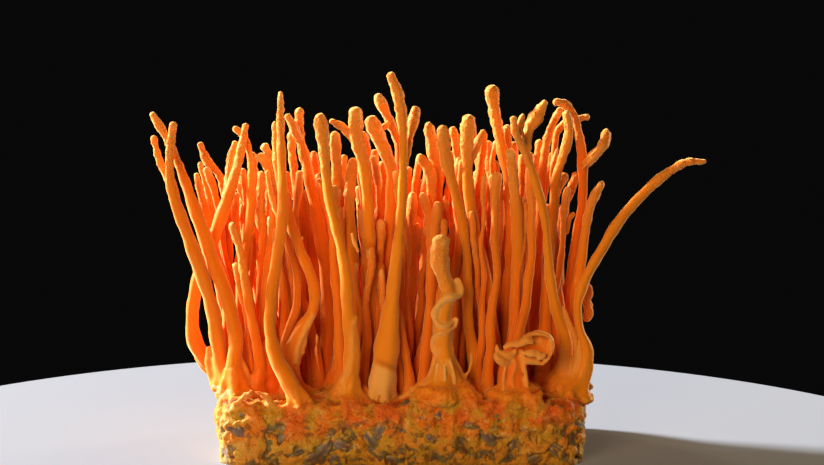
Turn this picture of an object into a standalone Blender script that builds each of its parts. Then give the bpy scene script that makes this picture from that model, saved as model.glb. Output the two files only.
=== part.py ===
"""A bunch of cultivated cordyceps: slender club-tipped stems crowded on a block of spent grain.

The larger stems are pieces of their own. The thin ones between and behind them are one solid
with the block that they grow from.

Metres, +Z up. The origin is the middle of the block's flat underside. The block is longest
along X, and its front is -Y. Lengths below are in millimetres and MM turns them into metres.
"""

import math

import bmesh
import bpy
import numpy as np
from mathutils import Vector, noise
from mathutils.bvhtree import BVHTree

MM = 0.001

# The block of grain that the stems grow from
BLOCK_LENGTH = 91.5
BLOCK_DEPTH = 44.0
BLOCK_TOP = 14.6
BLOCK_FACET = 4.2
BLOCK_CORNER = 7.0
BLOCK_FLAT = 0.001
BLOCK_INSET = 0.9
WAIST_BULGE = 0.4
WAIST_CURVE = 1.6
RIM_SHARE = 0.99
SIDE_ROUGHNESS = 1.3
TOP_ROUGHNESS = 0.9
FOOT_GAP = 0.3
FOOT_INSET = 0.5
FOOT_STUB = 1.2
STUB_TAPER = 0.96
BRANCH_STUB = 0.5
FOOT_BLEND = 15.0
FOOT_ROUNDS = 400
FOOT_PUSH = 0.3
RAYS_AROUND = 12
RAY_CIRCLES = 3
RAY_START = 100.0

# The lumps of its surface: how many per mm, a share of the roughness, and where they start
WIDE_LUMPS = 0.13
SMALL_LUMPS = 0.33
SMALL_SHARE = 0.65
WIDE_SEED = 28.0
SMALL_SEED = 31.0

# Rises in the block's top, as (x, y, height, spread)
MOUNDS = (
    (11.0, -14.0, 2.6, 8.0),
    (29.0, -14.0, 1.6, 7.0),
    (-15.0, -13.0, 1.6, 6.0),
    (-37.0, -17.0, 1.2, 6.0),
    (0.0, 12.0, 1.8, 22.0),
    (40.0, -4.0, 2.0, 8.0),
    (-42.0, -2.0, 1.6, 6.0),
)

# The front view that the stems' runs are given in: across to the right of the block's
# middle, height above its front lower edge, both in mm, seen from VIEW_DISTANCE away
VIEW_DISTANCE = 572.2
VIEW_RISE = math.radians(9.0)
VIEW_AIM = np.array([2.75, 0.0, 54.8])
VIEW_AIM_HEIGHT = 58.9

# The stems' solids
RING_SPACING = 9.4
BEND_WEIGHT = 11.0
FEWEST_RINGS = 4
MOST_RINGS = 12
TIP_SHARE = 0.55
TIP_LENGTH = 0.75
WELD = 1e-6
SMOOTH_STEP = 0.05
STEM_GAP = 0.7
DEEPEST = 31.0
NEAREST = -27.0
SETTLE_ROUNDS = 1500
SETTLE_PUSH = 0.5
LEAST_WEIGHT = 0.6
EVENING = 0.3
EVENING_SHARE = 0.8
STEEPEST = 0.75
SAMPLE_SHARES = (0.0, 0.25, 0.5, 0.75)
CROSSING_BREAK = 6

# Each stem's run from its foot to its tip, after its name and the depths of its foot and tip
# behind the block's middle: across, height and width, in the front view
STEMS = (
    ("left_stem_01", -9.0, -7.0,
     ((-42.0, 17.0, 4.2), (-42.0, 25.0, 3.7), (-41.3, 31.0, 3.6), (-42.1, 37.0, 3.6),
      (-43.4, 42.5, 3.4), (-45.5, 47.5, 3.4), (-49.3, 58.5, 3.3), (-52.9, 68.5, 2.6),
      (-56.4, 78.0, 2.3), (-59.6, 84.3, 2.2), (-61.2, 87.0, 2.2), (-62.5, 89.0, 1.7))),
    ("left_stem_02", -5.0, -14.0,
     ((-45.0, 20.0, 4.0), (-46.0, 25.0, 3.5), (-46.2, 31.0, 3.5), (-46.8, 38.0, 3.5),
      (-49.4, 47.0, 3.6), (-52.3, 55.5, 3.6), (-55.3, 63.5, 3.0), (-57.5, 71.0, 2.4),
      (-57.8, 78.0, 2.2), (-57.3, 84.0, 2.0), (-56.9, 86.6, 1.5))),
    ("left_stem_02_branch", -11.0, -8.0,
     ((-56.4, 66.5, 2.0), (-57.6, 69.7, 1.9), (-58.8, 73.0, 1.9), (-60.7, 78.0, 1.8),
      (-62.0, 83.2, 1.5))),
    ("loop_stem", -1.0, -3.0,
     ((-44.2, 20.5, 4.6), (-48.3, 24.8, 4.4), (-51.3, 29.0, 4.1), (-52.2, 35.0, 3.6),
      (-51.6, 43.0, 3.3), (-49.6, 50.0, 3.4), (-47.2, 56.5, 3.3), (-44.6, 64.0, 2.8),
      (-42.2, 71.0, 2.7), (-40.3, 78.0, 2.5), (-39.2, 83.5, 2.0), (-38.7, 86.2, 1.5))),
    ("loop_stem_branch", 0.0, 4.0,
     ((-43.4, 69.0, 2.0), (-43.2, 73.0, 1.8), (-42.8, 77.0, 1.8), (-41.3, 81.8, 1.5))),
    ("left_stem_03", 6.0, 10.0,
     ((-42.5, 22.0, 3.2), (-43.5, 35.0, 2.6), (-43.0, 50.0, 2.4), (-43.2, 62.0, 2.1),
      (-44.5, 70.5, 1.9), (-46.3, 74.6, 1.9), (-49.0, 77.6, 1.9), (-50.4, 81.5, 1.5))),
    ("left_stem_04", 9.0, 6.0,
     ((-39.5, 22.5, 3.2), (-42.5, 34.0, 2.6), (-45.4, 46.0, 2.5), (-46.8, 56.0, 2.3),
      (-47.4, 64.0, 2.0), (-48.6, 70.3, 1.9), (-50.4, 76.6, 1.6))),
    ("left_stem_05", 2.0, 2.0,
     ((-38.0, 21.5, 3.2), (-40.0, 32.0, 2.8), (-43.2, 44.0, 2.7), (-46.5, 54.0, 2.4),
      (-48.6, 63.0, 2.1), (-50.4, 70.0, 1.9), (-51.3, 73.8, 1.5))),
    ("left_stem_06", -3.0, 1.0,
     ((-38.0, 19.5, 3.4), (-39.6, 30.0, 2.7), (-40.2, 42.0, 2.5), (-38.8, 53.0, 2.5),
      (-37.8, 61.0, 2.4), (-37.4, 70.0, 2.3), (-37.6, 77.0, 2.1), (-39.2, 82.6, 1.9),
      (-41.9, 85.4, 1.5))),
    ("left_stem_07", 10.0, 14.0,
     ((-36.5, 23.5, 3.0), (-38.0, 40.0, 2.4), (-40.0, 56.0, 2.2), (-39.6, 66.0, 2.0),
      (-39.7, 75.0, 1.6))),
    ("left_stem_08", 4.0, 4.0,
     ((-33.5, 21.5, 3.2), (-32.8, 40.0, 2.5), (-31.6, 60.0, 2.3), (-31.0, 68.0, 2.1),
      (-31.8, 75.0, 2.0), (-33.2, 78.8, 2.0), (-34.4, 81.2, 1.9))),
    ("hooked_stem", -2.0, -3.0,
     ((-34.0, 20.0, 3.4), (-34.4, 33.0, 2.6), (-33.9, 43.0, 2.3), (-32.7, 55.0, 2.2),
      (-31.7, 63.0, 2.2), (-32.1, 69.0, 2.2), (-33.0, 74.0, 2.3), (-34.1, 77.2, 2.4),
      (-36.1, 78.1, 2.0))),
    ("left_stem_09", 1.0, 2.0,
     ((-36.0, 20.5, 3.2), (-35.6, 34.0, 2.5), (-35.0, 46.0, 2.3), (-34.5, 58.0, 2.2),
      (-35.1, 68.0, 2.0), (-34.9, 74.3, 1.6))),
    ("left_stem_10", -7.0, -8.0,
     ((-36.6, 18.5, 2.8), (-35.2, 25.5, 2.4), (-36.9, 35.0, 2.3), (-38.6, 45.0, 2.3),
      (-40.2, 54.0, 2.2), (-42.4, 61.5, 1.8))),
    ("spear_stem", -17.5, -15.0,
     ((-25.6, 16.5, 4.6), (-26.8, 19.5, 4.5), (-28.9, 23.0, 4.3), (-31.0, 27.0, 3.8),
      (-32.7, 34.0, 3.0), (-32.5, 42.0, 2.7), (-31.2, 52.0, 2.7), (-29.9, 60.0, 2.6),
      (-29.5, 70.0, 2.5), (-30.0, 80.0, 2.3), (-30.2, 90.0, 2.0), (-30.1, 94.2, 1.4))),
    ("bowed_stem", -9.0, -9.0,
     ((-26.4, 20.0, 4.6), (-28.0, 27.0, 4.0), (-26.3, 33.2, 3.3), (-23.2, 37.0, 3.0),
      (-21.6, 41.5, 2.9), (-21.9, 46.0, 2.8), (-25.0, 54.0, 2.6), (-28.2, 63.0, 2.4),
      (-30.6, 74.0, 2.1), (-31.4, 82.0, 1.9), (-31.6, 86.8, 1.4))),
    ("middle_stem_01", 3.5, 2.0,
     ((-19.6, 22.0, 5.0), (-18.4, 30.0, 4.6), (-17.9, 40.0, 4.2), (-18.8, 50.0, 3.2),
      (-20.5, 60.0, 3.0), (-22.4, 70.0, 2.8), (-24.3, 79.0, 2.7), (-25.5, 84.5, 2.8),
      (-25.4, 90.2, 2.4))),
    ("middle_stem_01_branch", 3.0, 0.0,
     ((-26.2, 82.5, 1.9), (-27.0, 85.5, 1.9), (-28.8, 88.5, 1.5))),
    ("middle_stem_02", 8.0, 4.0,
     ((-22.5, 23.0, 4.0), (-20.6, 40.0, 3.0), (-22.0, 53.0, 2.7), (-24.3, 62.0, 2.5),
      (-26.0, 70.0, 2.5), (-27.2, 78.0, 2.5), (-27.5, 84.2, 1.9))),
    ("broad_stem", -15.0, -16.0,
     ((-13.4, 17.5, 5.4), (-12.7, 22.0, 4.2), (-12.1, 30.0, 3.7), (-13.2, 38.0, 3.2),
      (-13.6, 45.0, 2.7), (-14.3, 52.0, 2.6), (-16.3, 60.0, 2.5), (-18.2, 69.0, 2.7),
      (-19.1, 79.0, 3.0), (-20.0, 85.5, 4.3), (-20.3, 88.8, 3.0))),
    ("middle_stem_03", 0.0, -6.0,
     ((-15.5, 21.0, 4.0), (-14.6, 40.0, 2.9), (-14.6, 58.0, 2.8), (-15.8, 70.0, 2.8),
      (-16.3, 79.0, 2.8), (-16.6, 84.2, 2.3))),
    ("middle_stem_04", 10.0, 12.0,
     ((-14.5, 23.5, 3.8), (-13.9, 42.0, 2.6), (-14.9, 60.0, 2.4), (-14.7, 72.0, 2.3),
      (-14.2, 78.4, 1.9))),
    ("middle_stem_05", -4.0, -2.0,
     ((-11.8, 20.5, 4.0), (-11.3, 36.0, 3.0), (-12.2, 52.0, 3.0), (-13.0, 64.0, 3.0),
      (-12.5, 72.0, 2.9), (-11.9, 77.6, 1.9))),
    ("middle_stem_06", -3.0, -9.0,
     ((-8.6, 20.5, 4.4), (-8.2, 30.0, 3.6), (-7.7, 42.0, 3.2), (-8.0, 56.0, 3.1),
      (-8.6, 70.0, 3.1), (-9.8, 78.5, 3.4), (-11.2, 83.5, 3.8), (-11.5, 90.3, 3.3))),
    ("middle_stem_06_branch", -8.0, -9.0,
     ((-12.6, 82.0, 2.0), (-14.0, 84.8, 1.9), (-17.8, 87.0, 1.6))),
    ("middle_stem_07", 2.0, -6.0,
     ((-5.0, 21.5, 4.4), (-4.2, 36.0, 3.3), (-3.3, 52.0, 3.1), (-2.6, 64.0, 3.1),
      (-2.3, 74.0, 3.1), (-4.4, 80.0, 3.4), (-6.0, 84.0, 3.8), (-8.0, 88.0, 3.4))),
    ("middle_stem_08", 10.0, 4.0,
     ((-0.5, 24.0, 3.8), (1.3, 40.0, 2.7), (0.6, 58.0, 2.4), (-0.2, 72.0, 2.2),
      (-0.5, 80.0, 2.2), (-2.3, 85.5, 2.4), (-4.6, 90.0, 3.0), (-6.1, 93.6, 2.8))),
    ("tallest_stem", -13.0, -14.0,
     ((-5.0, 18.5, 6.0), (-4.5, 23.0, 6.2), (-3.6, 30.0, 5.7), (-2.7, 38.0, 4.2),
      (-1.6, 48.0, 3.2), (-0.5, 58.0, 2.8), (0.4, 70.0, 2.1), (0.6, 80.0, 2.1),
      (0.1, 88.0, 2.4), (-1.2, 95.0, 2.9), (-2.9, 99.0, 2.1))),
    ("tallest_stem_branch", -12.0, -8.0,
     ((1.7, 78.0, 2.2), (2.2, 83.0, 2.2), (3.2, 87.0, 2.9), (3.9, 90.5, 3.0))),
    ("middle_stem_09", 5.0, 2.0,
     ((5.0, 22.5, 3.8), (5.2, 40.0, 3.0), (6.4, 56.0, 2.9), (7.6, 68.0, 2.8),
      (7.4, 73.5, 2.8), (5.8, 76.6, 2.9), (4.4, 78.4, 2.4))),
    ("middle_stem_10", 8.0, -3.0,
     ((9.0, 23.0, 3.8), (8.6, 40.0, 3.0), (9.0, 56.0, 2.8), (9.1, 70.0, 2.7),
      (8.4, 78.0, 3.0), (7.0, 84.0, 3.6), (6.8, 86.4, 2.9))),
    ("middle_stem_11", -5.0, -12.0,
     ((20.6, 21.0, 4.2), (18.9, 28.0, 3.2), (16.9, 36.0, 2.5), (16.8, 46.0, 2.3),
      (16.0, 58.0, 2.3), (13.8, 68.0, 2.4), (11.6, 76.0, 2.9), (10.5, 82.5, 3.4),
      (10.2, 85.8, 2.7))),
    ("middle_stem_12", 6.0, 2.0,
     ((13.5, 22.5, 3.6), (13.0, 40.0, 2.6), (13.8, 58.0, 2.2), (14.2, 72.0, 2.0),
      (13.7, 80.0, 1.8), (12.9, 85.4, 1.6))),
    ("middle_stem_13", -3.0, -10.0,
     ((23.9, 21.0, 4.4), (22.8, 32.0, 3.8), (21.6, 44.0, 3.2), (19.8, 54.0, 3.0),
      (17.6, 64.0, 2.7), (16.6, 74.0, 2.7), (16.4, 81.0, 3.0), (17.0, 86.0, 3.7),
      (17.0, 88.4, 2.9))),
    ("middle_stem_13_branch", -8.0, -5.0,
     ((18.3, 78.0, 2.1), (19.0, 81.0, 2.1), (20.9, 84.6, 1.8))),
    ("middle_stem_14", 12.0, 12.0,
     ((17.5, 23.5, 3.8), (17.0, 42.0, 2.8), (19.0, 62.0, 2.7), (20.0, 74.0, 2.9),
      (20.1, 80.8, 2.2))),
    ("middle_stem_15", 7.0, 7.0,
     ((23.5, 23.0, 3.6), (24.6, 42.0, 2.8), (23.6, 60.0, 2.4), (22.3, 72.0, 2.2),
      (21.8, 81.9, 1.9))),
    ("coiled_stem", -15.0, -18.0,
     ((11.2, 17.5, 7.4), (11.0, 22.0, 5.8), (10.7, 28.0, 4.5), (10.3, 34.0, 4.5),
      (10.6, 40.0, 4.7), (12.0, 44.0, 4.2), (10.6, 48.0, 4.2), (9.6, 53.0, 4.6),
      (10.2, 58.5, 4.2))),
    ("curled_stem", -14.5, -16.0,
     ((28.6, 17.5, 6.2), (28.7, 22.0, 5.2), (28.6, 27.0, 4.0), (31.0, 30.8, 3.4),
      (34.6, 31.6, 3.4), (36.3, 29.6, 3.0), (35.4, 27.2, 2.4), (33.4, 26.1, 2.0))),
    ("curled_stem_branch", -15.0, -19.0,
     ((26.6, 27.6, 2.4), (24.9, 27.0, 2.2), (23.4, 28.8, 1.6))),
    ("right_stem_01", 1.0, -4.0,
     ((26.0, 22.0, 4.2), (26.4, 40.0, 3.2), (27.6, 56.0, 2.9), (27.4, 70.0, 2.8),
      (25.2, 80.0, 2.9), (23.8, 86.5, 3.3), (23.1, 92.0, 3.8), (22.5, 95.8, 3.1))),
    ("right_stem_01_branch", -1.0, 2.0,
     ((26.9, 76.0, 1.9), (26.6, 80.5, 1.9), (26.4, 85.9, 1.7))),
    ("right_stem_02", -2.0, -12.0,
     ((27.9, 21.5, 4.4), (28.2, 35.0, 3.4), (29.0, 47.0, 2.9), (29.0, 60.0, 2.8),
      (28.3, 70.0, 2.7), (27.5, 77.0, 2.9), (27.3, 79.8, 2.3))),
    ("right_stem_03", -7.0, -15.0,
     ((40.4, 21.5, 4.6), (41.6, 27.0, 3.4), (41.2, 33.0, 2.9), (38.4, 41.0, 2.8),
      (37.0, 50.0, 2.4), (36.0, 62.0, 2.2), (33.6, 72.0, 2.0), (30.6, 80.0, 1.9),
      (28.4, 84.5, 1.6), (28.0, 88.0, 1.4))),
    ("right_stem_03_branch", -14.0, -11.0,
     ((29.4, 82.5, 1.8), (29.7, 85.5, 1.8), (30.6, 88.6, 1.6))),
    ("right_stem_03_paddle", -13.0, -8.0,
     ((30.8, 81.6, 2.0), (31.7, 84.0, 2.6), (33.4, 87.0, 3.3), (34.8, 89.4, 2.9),
      (36.2, 92.0, 1.9))),
    ("right_stem_04", 4.0, 1.0,
     ((33.5, 22.5, 4.0), (33.6, 42.0, 3.0), (34.6, 60.0, 2.5), (35.4, 74.0, 2.3),
      (36.4, 81.5, 2.2), (38.2, 86.6, 2.2), (40.0, 90.2, 1.8))),
    ("right_stem_05", -1.0, -5.0,
     ((35.8, 21.5, 4.0), (36.2, 42.0, 3.0), (38.0, 62.0, 2.4), (38.8, 73.0, 2.2),
      (41.2, 80.0, 2.3), (42.0, 85.0, 2.3), (41.3, 89.5, 1.9))),
    ("arched_stem", 5.0, -4.0,
     ((39.0, 23.0, 4.2), (41.4, 42.0, 2.8), (43.6, 56.0, 2.5), (45.4, 67.0, 2.3),
      (45.3, 77.0, 2.3), (44.6, 83.0, 2.2), (43.2, 88.0, 2.0), (40.9, 90.9, 2.0),
      (38.0, 91.7, 1.7))),
    ("arched_stem_branch", -4.0, 0.0,
     ((46.4, 76.6, 2.4), (49.2, 79.2, 2.4), (51.0, 81.6, 2.6), (51.3, 84.8, 2.6))),
    ("right_stem_06", 9.0, 5.0,
     ((37.0, 24.0, 3.6), (38.4, 44.0, 2.5), (38.6, 64.0, 2.1), (38.5, 78.0, 1.9),
      (39.0, 84.0, 1.9), (42.6, 87.0, 1.9), (47.2, 88.0, 1.4))),
    ("right_stem_07", 12.0, 12.0,
     ((31.5, 24.0, 3.6), (32.2, 44.0, 2.7), (33.4, 62.0, 2.4), (34.2, 75.0, 2.2),
      (34.6, 82.2, 2.0))),
    ("right_stem_08", 2.0, -1.0,
     ((41.0, 22.0, 3.8), (39.2, 42.0, 2.7), (38.2, 58.0, 2.5), (38.6, 68.0, 2.5),
      (41.2, 73.8, 2.4))),
    ("right_stem_09", 9.0, 6.0,
     ((41.0, 23.5, 3.6), (39.6, 44.0, 2.5), (39.9, 56.0, 2.5), (40.8, 65.0, 2.4),
      (44.2, 74.0, 1.9))),
    ("right_stem_10", -2.0, -3.0,
     ((43.0, 21.0, 4.0), (43.2, 38.0, 2.8), (45.3, 53.0, 2.6), (46.7, 63.0, 2.6),
      (48.6, 68.7, 2.3), (50.5, 71.8, 1.9))),
    ("outlying_stem", -9.5, -6.0,
     ((43.6, 19.5, 4.8), (45.8, 24.0, 3.8), (46.5, 29.5, 3.4), (44.9, 34.0, 2.5),
      (44.1, 39.5, 2.2), (45.8, 46.5, 2.6), (50.4, 55.0, 2.6), (56.3, 64.1, 2.4),
      (63.8, 71.5, 2.3), (70.0, 76.0, 2.0), (76.3, 76.7, 1.4))),
    ("rear_stem_01", 17.0, 24.0,
     ((-32.0, 25.0, 3.6), (-33.0, 45.0, 2.6), (-35.5, 62.0, 2.4), (-37.0, 79.0, 2.2))),
    ("rear_stem_02", 17.0, 26.0,
     ((0.0, 25.5, 3.8), (-3.0, 45.0, 2.8), (-8.0, 64.0, 2.5), (-8.7, 83.8, 1.8))),
    ("rear_stem_03", 17.0, 24.0,
     ((27.0, 25.0, 3.6), (29.5, 45.0, 2.6), (30.6, 62.0, 2.4), (32.4, 79.0, 2.2))),
)

# Thin stems that fill the bunch between and behind the others and are one solid with the
# block: the rows that their feet stand in, as depth behind the middle and spacing
THIN_ROWS = (
    (-9.0, 5.2), (-4.5, 4.4), (0.0, 3.9), (4.5, 3.6), (9.0, 3.5), (13.0, 3.5), (16.5, 3.7), (19.5, 4.4),
)
THIN_SEED = 11
THIN_MOST = 50
THIN_JITTER = 0.9
THIN_ROW_END = 43.0
THIN_FOOT_RADII = (1.1, 1.6)
THIN_TAPER = 0.78
THIN_TIP_SHARES = (0.62, 0.95)

# Heights of a thin stem's lower end in the block, of the block's top, and of its first lean
THIN_ROOT = 10.0
THIN_BASE = 14.0
THIN_COLLAR = 20.0

# How the thin stems spread out upwards, vary in lean, height and bow, and where they bend
THIN_SPREAD = 1.17
THIN_ENDS = (-48.5, 45.0)
THIN_LEAN = 1.6
THIN_DROP = 14.0
THIN_DEPTH_SPREAD = 1.2
THIN_BOW = 1.4
THIN_SHARES = (0.0, 0.36, 0.7, 1.0)
THIN_SHORTEST = 42.0

# How a thin stem finds room: the gap it keeps, how far each of its points may move, and how
# many feet are tried for a tip that shows by itself
THIN_SAMPLES = 60
THIN_GAP = 0.5
THIN_NEAR = 9.0
THIN_ROUNDS = 90
THIN_PUSH = 0.5
THIN_STEP = 0.6
THIN_TURNS = (1.4, 1.4, 4.0, 4.0, 4.0)
THIN_TRIES = 18
THIN_BACK_ROWS = (3.0, 19.5)
THIN_ASTRAY = 3.5

# How high the thin stems reach across the front view
THIN_TOPS = (
    (-52, 10), (-50, 44), (-46, 58), (-41, 67), (-36, 67), (-33, 64), (-30, 70), (-24, 76), (-18, 77),
    (-13, 74), (-10.7, 67), (-8, 77), (-3, 77), (2, 72), (4, 72), (8, 74), (12, 77), (15, 78), (18, 76),
    (22, 79), (26, 80), (30, 78), (34, 73), (36.4, 69), (39, 70), (41.5, 44), (44, 42), (46, 30), (48, 10),
)

# Thin tips that show one by one: across, height and width at the tip
THIN_TIPS = (
    (-39.0, 75.0, 1.5), (-38.4, 72.3, 1.7), (-34.4, 74.0, 2.0), (-21.4, 79.3, 1.8), (-20.9, 73.6, 1.6),
    (-8.9, 84.2, 1.6), (-7.0, 79.6, 2.2), (-2.2, 72.4, 2.8), (4.4, 72.2, 4.0), (6.1, 75.0, 2.6),
    (13.5, 79.2, 2.0), (14.5, 83.8, 1.7), (19.1, 85.3, 1.6), (20.6, 84.2, 1.8), (20.0, 80.2, 2.6),
    (22.2, 81.4, 2.2), (18.4, 77.0, 1.8), (19.0, 74.5, 1.9), (21.2, 70.8, 2.4), (22.6, 66.8, 3.2),
    (28.5, 81.6, 2.2), (30.6, 76.2, 2.0), (32.2, 75.2, 1.8), (37.6, 78.9, 1.8), (39.3, 60.6, 1.8),
    (42.2, 62.8, 2.0), (-28.5, 74.0, 2.0), (-26.0, 70.0, 1.8), (-31.5, 68.0, 1.8), (10.0, 71.0, 2.6),
    (25.0, 73.5, 2.0), (-14.5, 72.0, 2.4), (-5.0, 66.0, 2.6), (34.6, 71.5, 1.9),
)

# Places in the front view where daylight shows between the stems: across, height, half width
THIN_CLEARINGS = (
    (-44.7, 52.5, 1.6), (-42.3, 52, 1.6), (-49.5, 37, 2.6), (-49, 33, 2.2), (-49.6, 41, 2.2),
    (-48.6, 59, 1.6), (-35.2, 70, 1.8), (-33.4, 61, 1.2), (-11.2, 71.5, 1.4), (12.8, 81, 1.2),
    (18.2, 78.5, 1.2), (36.3, 74, 1.4), (41.7, 56, 2.0), (41.7, 51, 2.0), (42.0, 47, 1.6),
)

# Sub-part colours, as linear red, green and blue, with roughness
STEM_ORANGE = (0.78, 0.22, 0.02)
STEM_OCHRE = (0.72, 0.28, 0.03)
GRAIN_BROWN = (0.34, 0.14, 0.03)
STEM_ROUGHNESS = 0.55
GRAIN_ROUGHNESS = 0.7


def clear_scene():
    for obj in list(bpy.data.objects):
        bpy.data.objects.remove(obj)


def make_collection(name):
    collection = bpy.data.collections.new(name)
    bpy.context.scene.collection.children.link(collection)
    return collection


def make_material(name, color, roughness):
    material = bpy.data.materials.new(name)
    material.use_nodes = True
    shader = material.node_tree.nodes["Principled BSDF"]
    shader.inputs["Base Color"].default_value = (*color, 1.0)
    shader.inputs["Roughness"].default_value = roughness
    shader.inputs["Metallic"].default_value = 0.0
    material.diffuse_color = (*color, 1.0)
    return material


def view_axes():
    forward = np.array([0.0, math.cos(VIEW_RISE), -math.sin(VIEW_RISE)])
    upward = np.array([0.0, math.sin(VIEW_RISE), math.cos(VIEW_RISE)])
    return forward, upward


def place(across, height, depth):
    """The point, in mm, seen at this place in the front view and this far behind the middle."""
    forward, upward = view_axes()
    eye = VIEW_AIM - forward * VIEW_DISTANCE
    seen = VIEW_AIM + np.array([across - VIEW_AIM[0], 0.0, 0.0])
    seen = seen + upward * (height - VIEW_AIM_HEIGHT)
    ray = seen - eye
    return eye + ray * ((depth - eye[1]) / ray[1])


def seen_at(point):
    """The place in the front view of a point in mm."""
    forward, upward = view_axes()
    eye = VIEW_AIM - forward * VIEW_DISTANCE
    ray = np.asarray(point, float) - eye
    scale = VIEW_DISTANCE / ray.dot(forward)
    return VIEW_AIM[0] + ray[0] * scale, VIEW_AIM_HEIGHT + ray.dot(upward) * scale


def block_swell(x, y):
    """How far the block's top rises over its flat height at this place, in mm."""
    rise = TOP_ROUGHNESS * noise.noise(Vector((x, y, WIDE_SEED)) * WIDE_LUMPS)
    rise += TOP_ROUGHNESS * SMALL_SHARE * noise.noise(Vector((x, y, SMALL_SEED)) * SMALL_LUMPS)
    for mound_x, mound_y, height, spread in MOUNDS:
        away = ((x - mound_x) ** 2 + (y - mound_y) ** 2) / spread**2
        rise += height * math.exp(-away)
    return rise


def shape_block_point(co):
    """Moves one point of the plain box to the lumpy block's surface, in mm."""
    half_x = BLOCK_LENGTH / 2
    half_y = BLOCK_DEPTH / 2
    level = co.z / BLOCK_TOP
    x, y = co.x, co.y
    # Plan corners are rounded
    over_x = abs(x) - (half_x - BLOCK_CORNER)
    over_y = abs(y) - (half_y - BLOCK_CORNER)
    if over_x > 0 and over_y > 0:
        reach = max(over_x, over_y)
        length = math.hypot(over_x, over_y)
        x = math.copysign(half_x - BLOCK_CORNER + over_x * reach / length, x)
        y = math.copysign(half_y - BLOCK_CORNER + over_y * reach / length, y)
    # Sides bulge a little at mid height, draw in under the rim, and are lumpy
    edge = max(abs(x) / half_x, abs(y) / half_y)
    corner = max(over_x, over_y) if min(over_x, over_y) > 0 else 0.0
    if edge > RIM_SHARE or corner > BLOCK_CORNER * RIM_SHARE:
        waist = WAIST_BULGE - WAIST_CURVE * (2 * level - BLOCK_INSET) ** 2
        spot = Vector((x, y, co.z))
        lump = SIDE_ROUGHNESS * noise.noise(spot * WIDE_LUMPS)
        lump += SIDE_ROUGHNESS * SMALL_SHARE * noise.noise(spot * SMALL_LUMPS)
        outward = Vector((x / half_x**2, y / half_y**2, 0)).normalized()
        x += outward.x * (waist + lump - BLOCK_INSET)
        y += outward.y * (waist + lump - BLOCK_INSET)
    z = co.z
    if level > 0.0:
        z += block_swell(x, y) * level**2
    return Vector((x, y, z))


def make_block(collection, material):
    """The lumpy block: a box primitive cut into facets and shaped point by point."""
    mesh = bpy.data.meshes.new("substrate_block")
    bm = bmesh.new()
    bmesh.ops.create_cube(bm, size=1.0)
    for vert in bm.verts:
        vert.co.x *= BLOCK_LENGTH
        vert.co.y *= BLOCK_DEPTH
        vert.co.z = (vert.co.z + 0.5) * BLOCK_TOP
    for axis, length in ((0, BLOCK_LENGTH), (1, BLOCK_DEPTH), (2, BLOCK_TOP)):
        cuts = round(length / BLOCK_FACET) - 1
        for step in range(1, cuts + 1):
            start = -length / 2 if axis < 2 else 0.0
            spot = Vector((0, 0, 0))
            spot[axis] = start + length * step / (cuts + 1)
            normal = Vector((0, 0, 0))
            normal[axis] = 1.0
            geometry = bm.verts[:] + bm.edges[:] + bm.faces[:]
            bmesh.ops.bisect_plane(bm, geom=geometry, plane_co=spot, plane_no=normal)
    underside = [face for face in bm.faces if max(vert.co.z for vert in face.verts) < BLOCK_FLAT]
    bmesh.ops.dissolve_faces(bm, faces=underside)
    for vert in bm.verts:
        vert.co = shape_block_point(vert.co) * MM
    bmesh.ops.triangulate(bm, faces=bm.faces)
    bmesh.ops.recalc_face_normals(bm, faces=bm.faces)
    surface = BVHTree.FromBMesh(bm)
    bm.to_mesh(mesh)
    bm.free()
    mesh.materials.append(material)
    mesh.shade_smooth()
    obj = bpy.data.objects.new("substrate_block", mesh)
    collection.objects.link(obj)
    return obj, surface


def block_top_under(surface, x, y, reach):
    """The highest point of the block's top within reach of (x, y), all in mm."""
    highest = 0.0
    for step in range(RAYS_AROUND * RAY_CIRCLES):
        angle = step * math.tau / RAYS_AROUND
        out = reach * (step // RAYS_AROUND) / (RAY_CIRCLES - 1)
        start = Vector((x + out * math.cos(angle), y + out * math.sin(angle), RAY_START)) * MM
        hit = surface.ray_cast(start, Vector((0, 0, -1)))[0]
        if hit is not None:
            highest = max(highest, hit.z / MM)
    return highest


def smooth_run(points):
    """Rings along the smooth curve through these points, closer together where it bends."""
    points = np.array(points, float)
    ends = np.vstack([2 * points[0] - points[1], points, 2 * points[-1] - points[-2]])
    fine = []
    for i in range(1, len(ends) - 2):
        before, here, there, after = ends[i - 1], ends[i], ends[i + 1], ends[i + 2]
        for t in np.arange(0, 1, SMOOTH_STEP):
            slope_here = (there - before) / 2
            slope_there = (after - here) / 2
            fine.append(
                (2 * t**3 - 3 * t**2 + 1) * here + (t**3 - 2 * t**2 + t) * slope_here
                + (3 * t**2 - 2 * t**3) * there + (t**3 - t**2) * slope_there
            )
    fine.append(ends[-2])
    fine = np.array(fine)
    runs = np.diff(fine[:, :2], axis=0)
    lengths = np.linalg.norm(runs, axis=1)
    headings = np.unwrap(np.arctan2(runs[:, 1], runs[:, 0]))
    turns = np.abs(np.diff(headings, prepend=headings[0]))
    along = np.concatenate([[0], np.cumsum(lengths + BEND_WEIGHT * turns)])
    count = int(np.clip(round(along[-1] / RING_SPACING) + 1, FEWEST_RINGS, MOST_RINGS))
    wanted = np.linspace(0, along[-1], count)
    return np.column_stack([np.interp(wanted, along, column) for column in fine.T])


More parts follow.
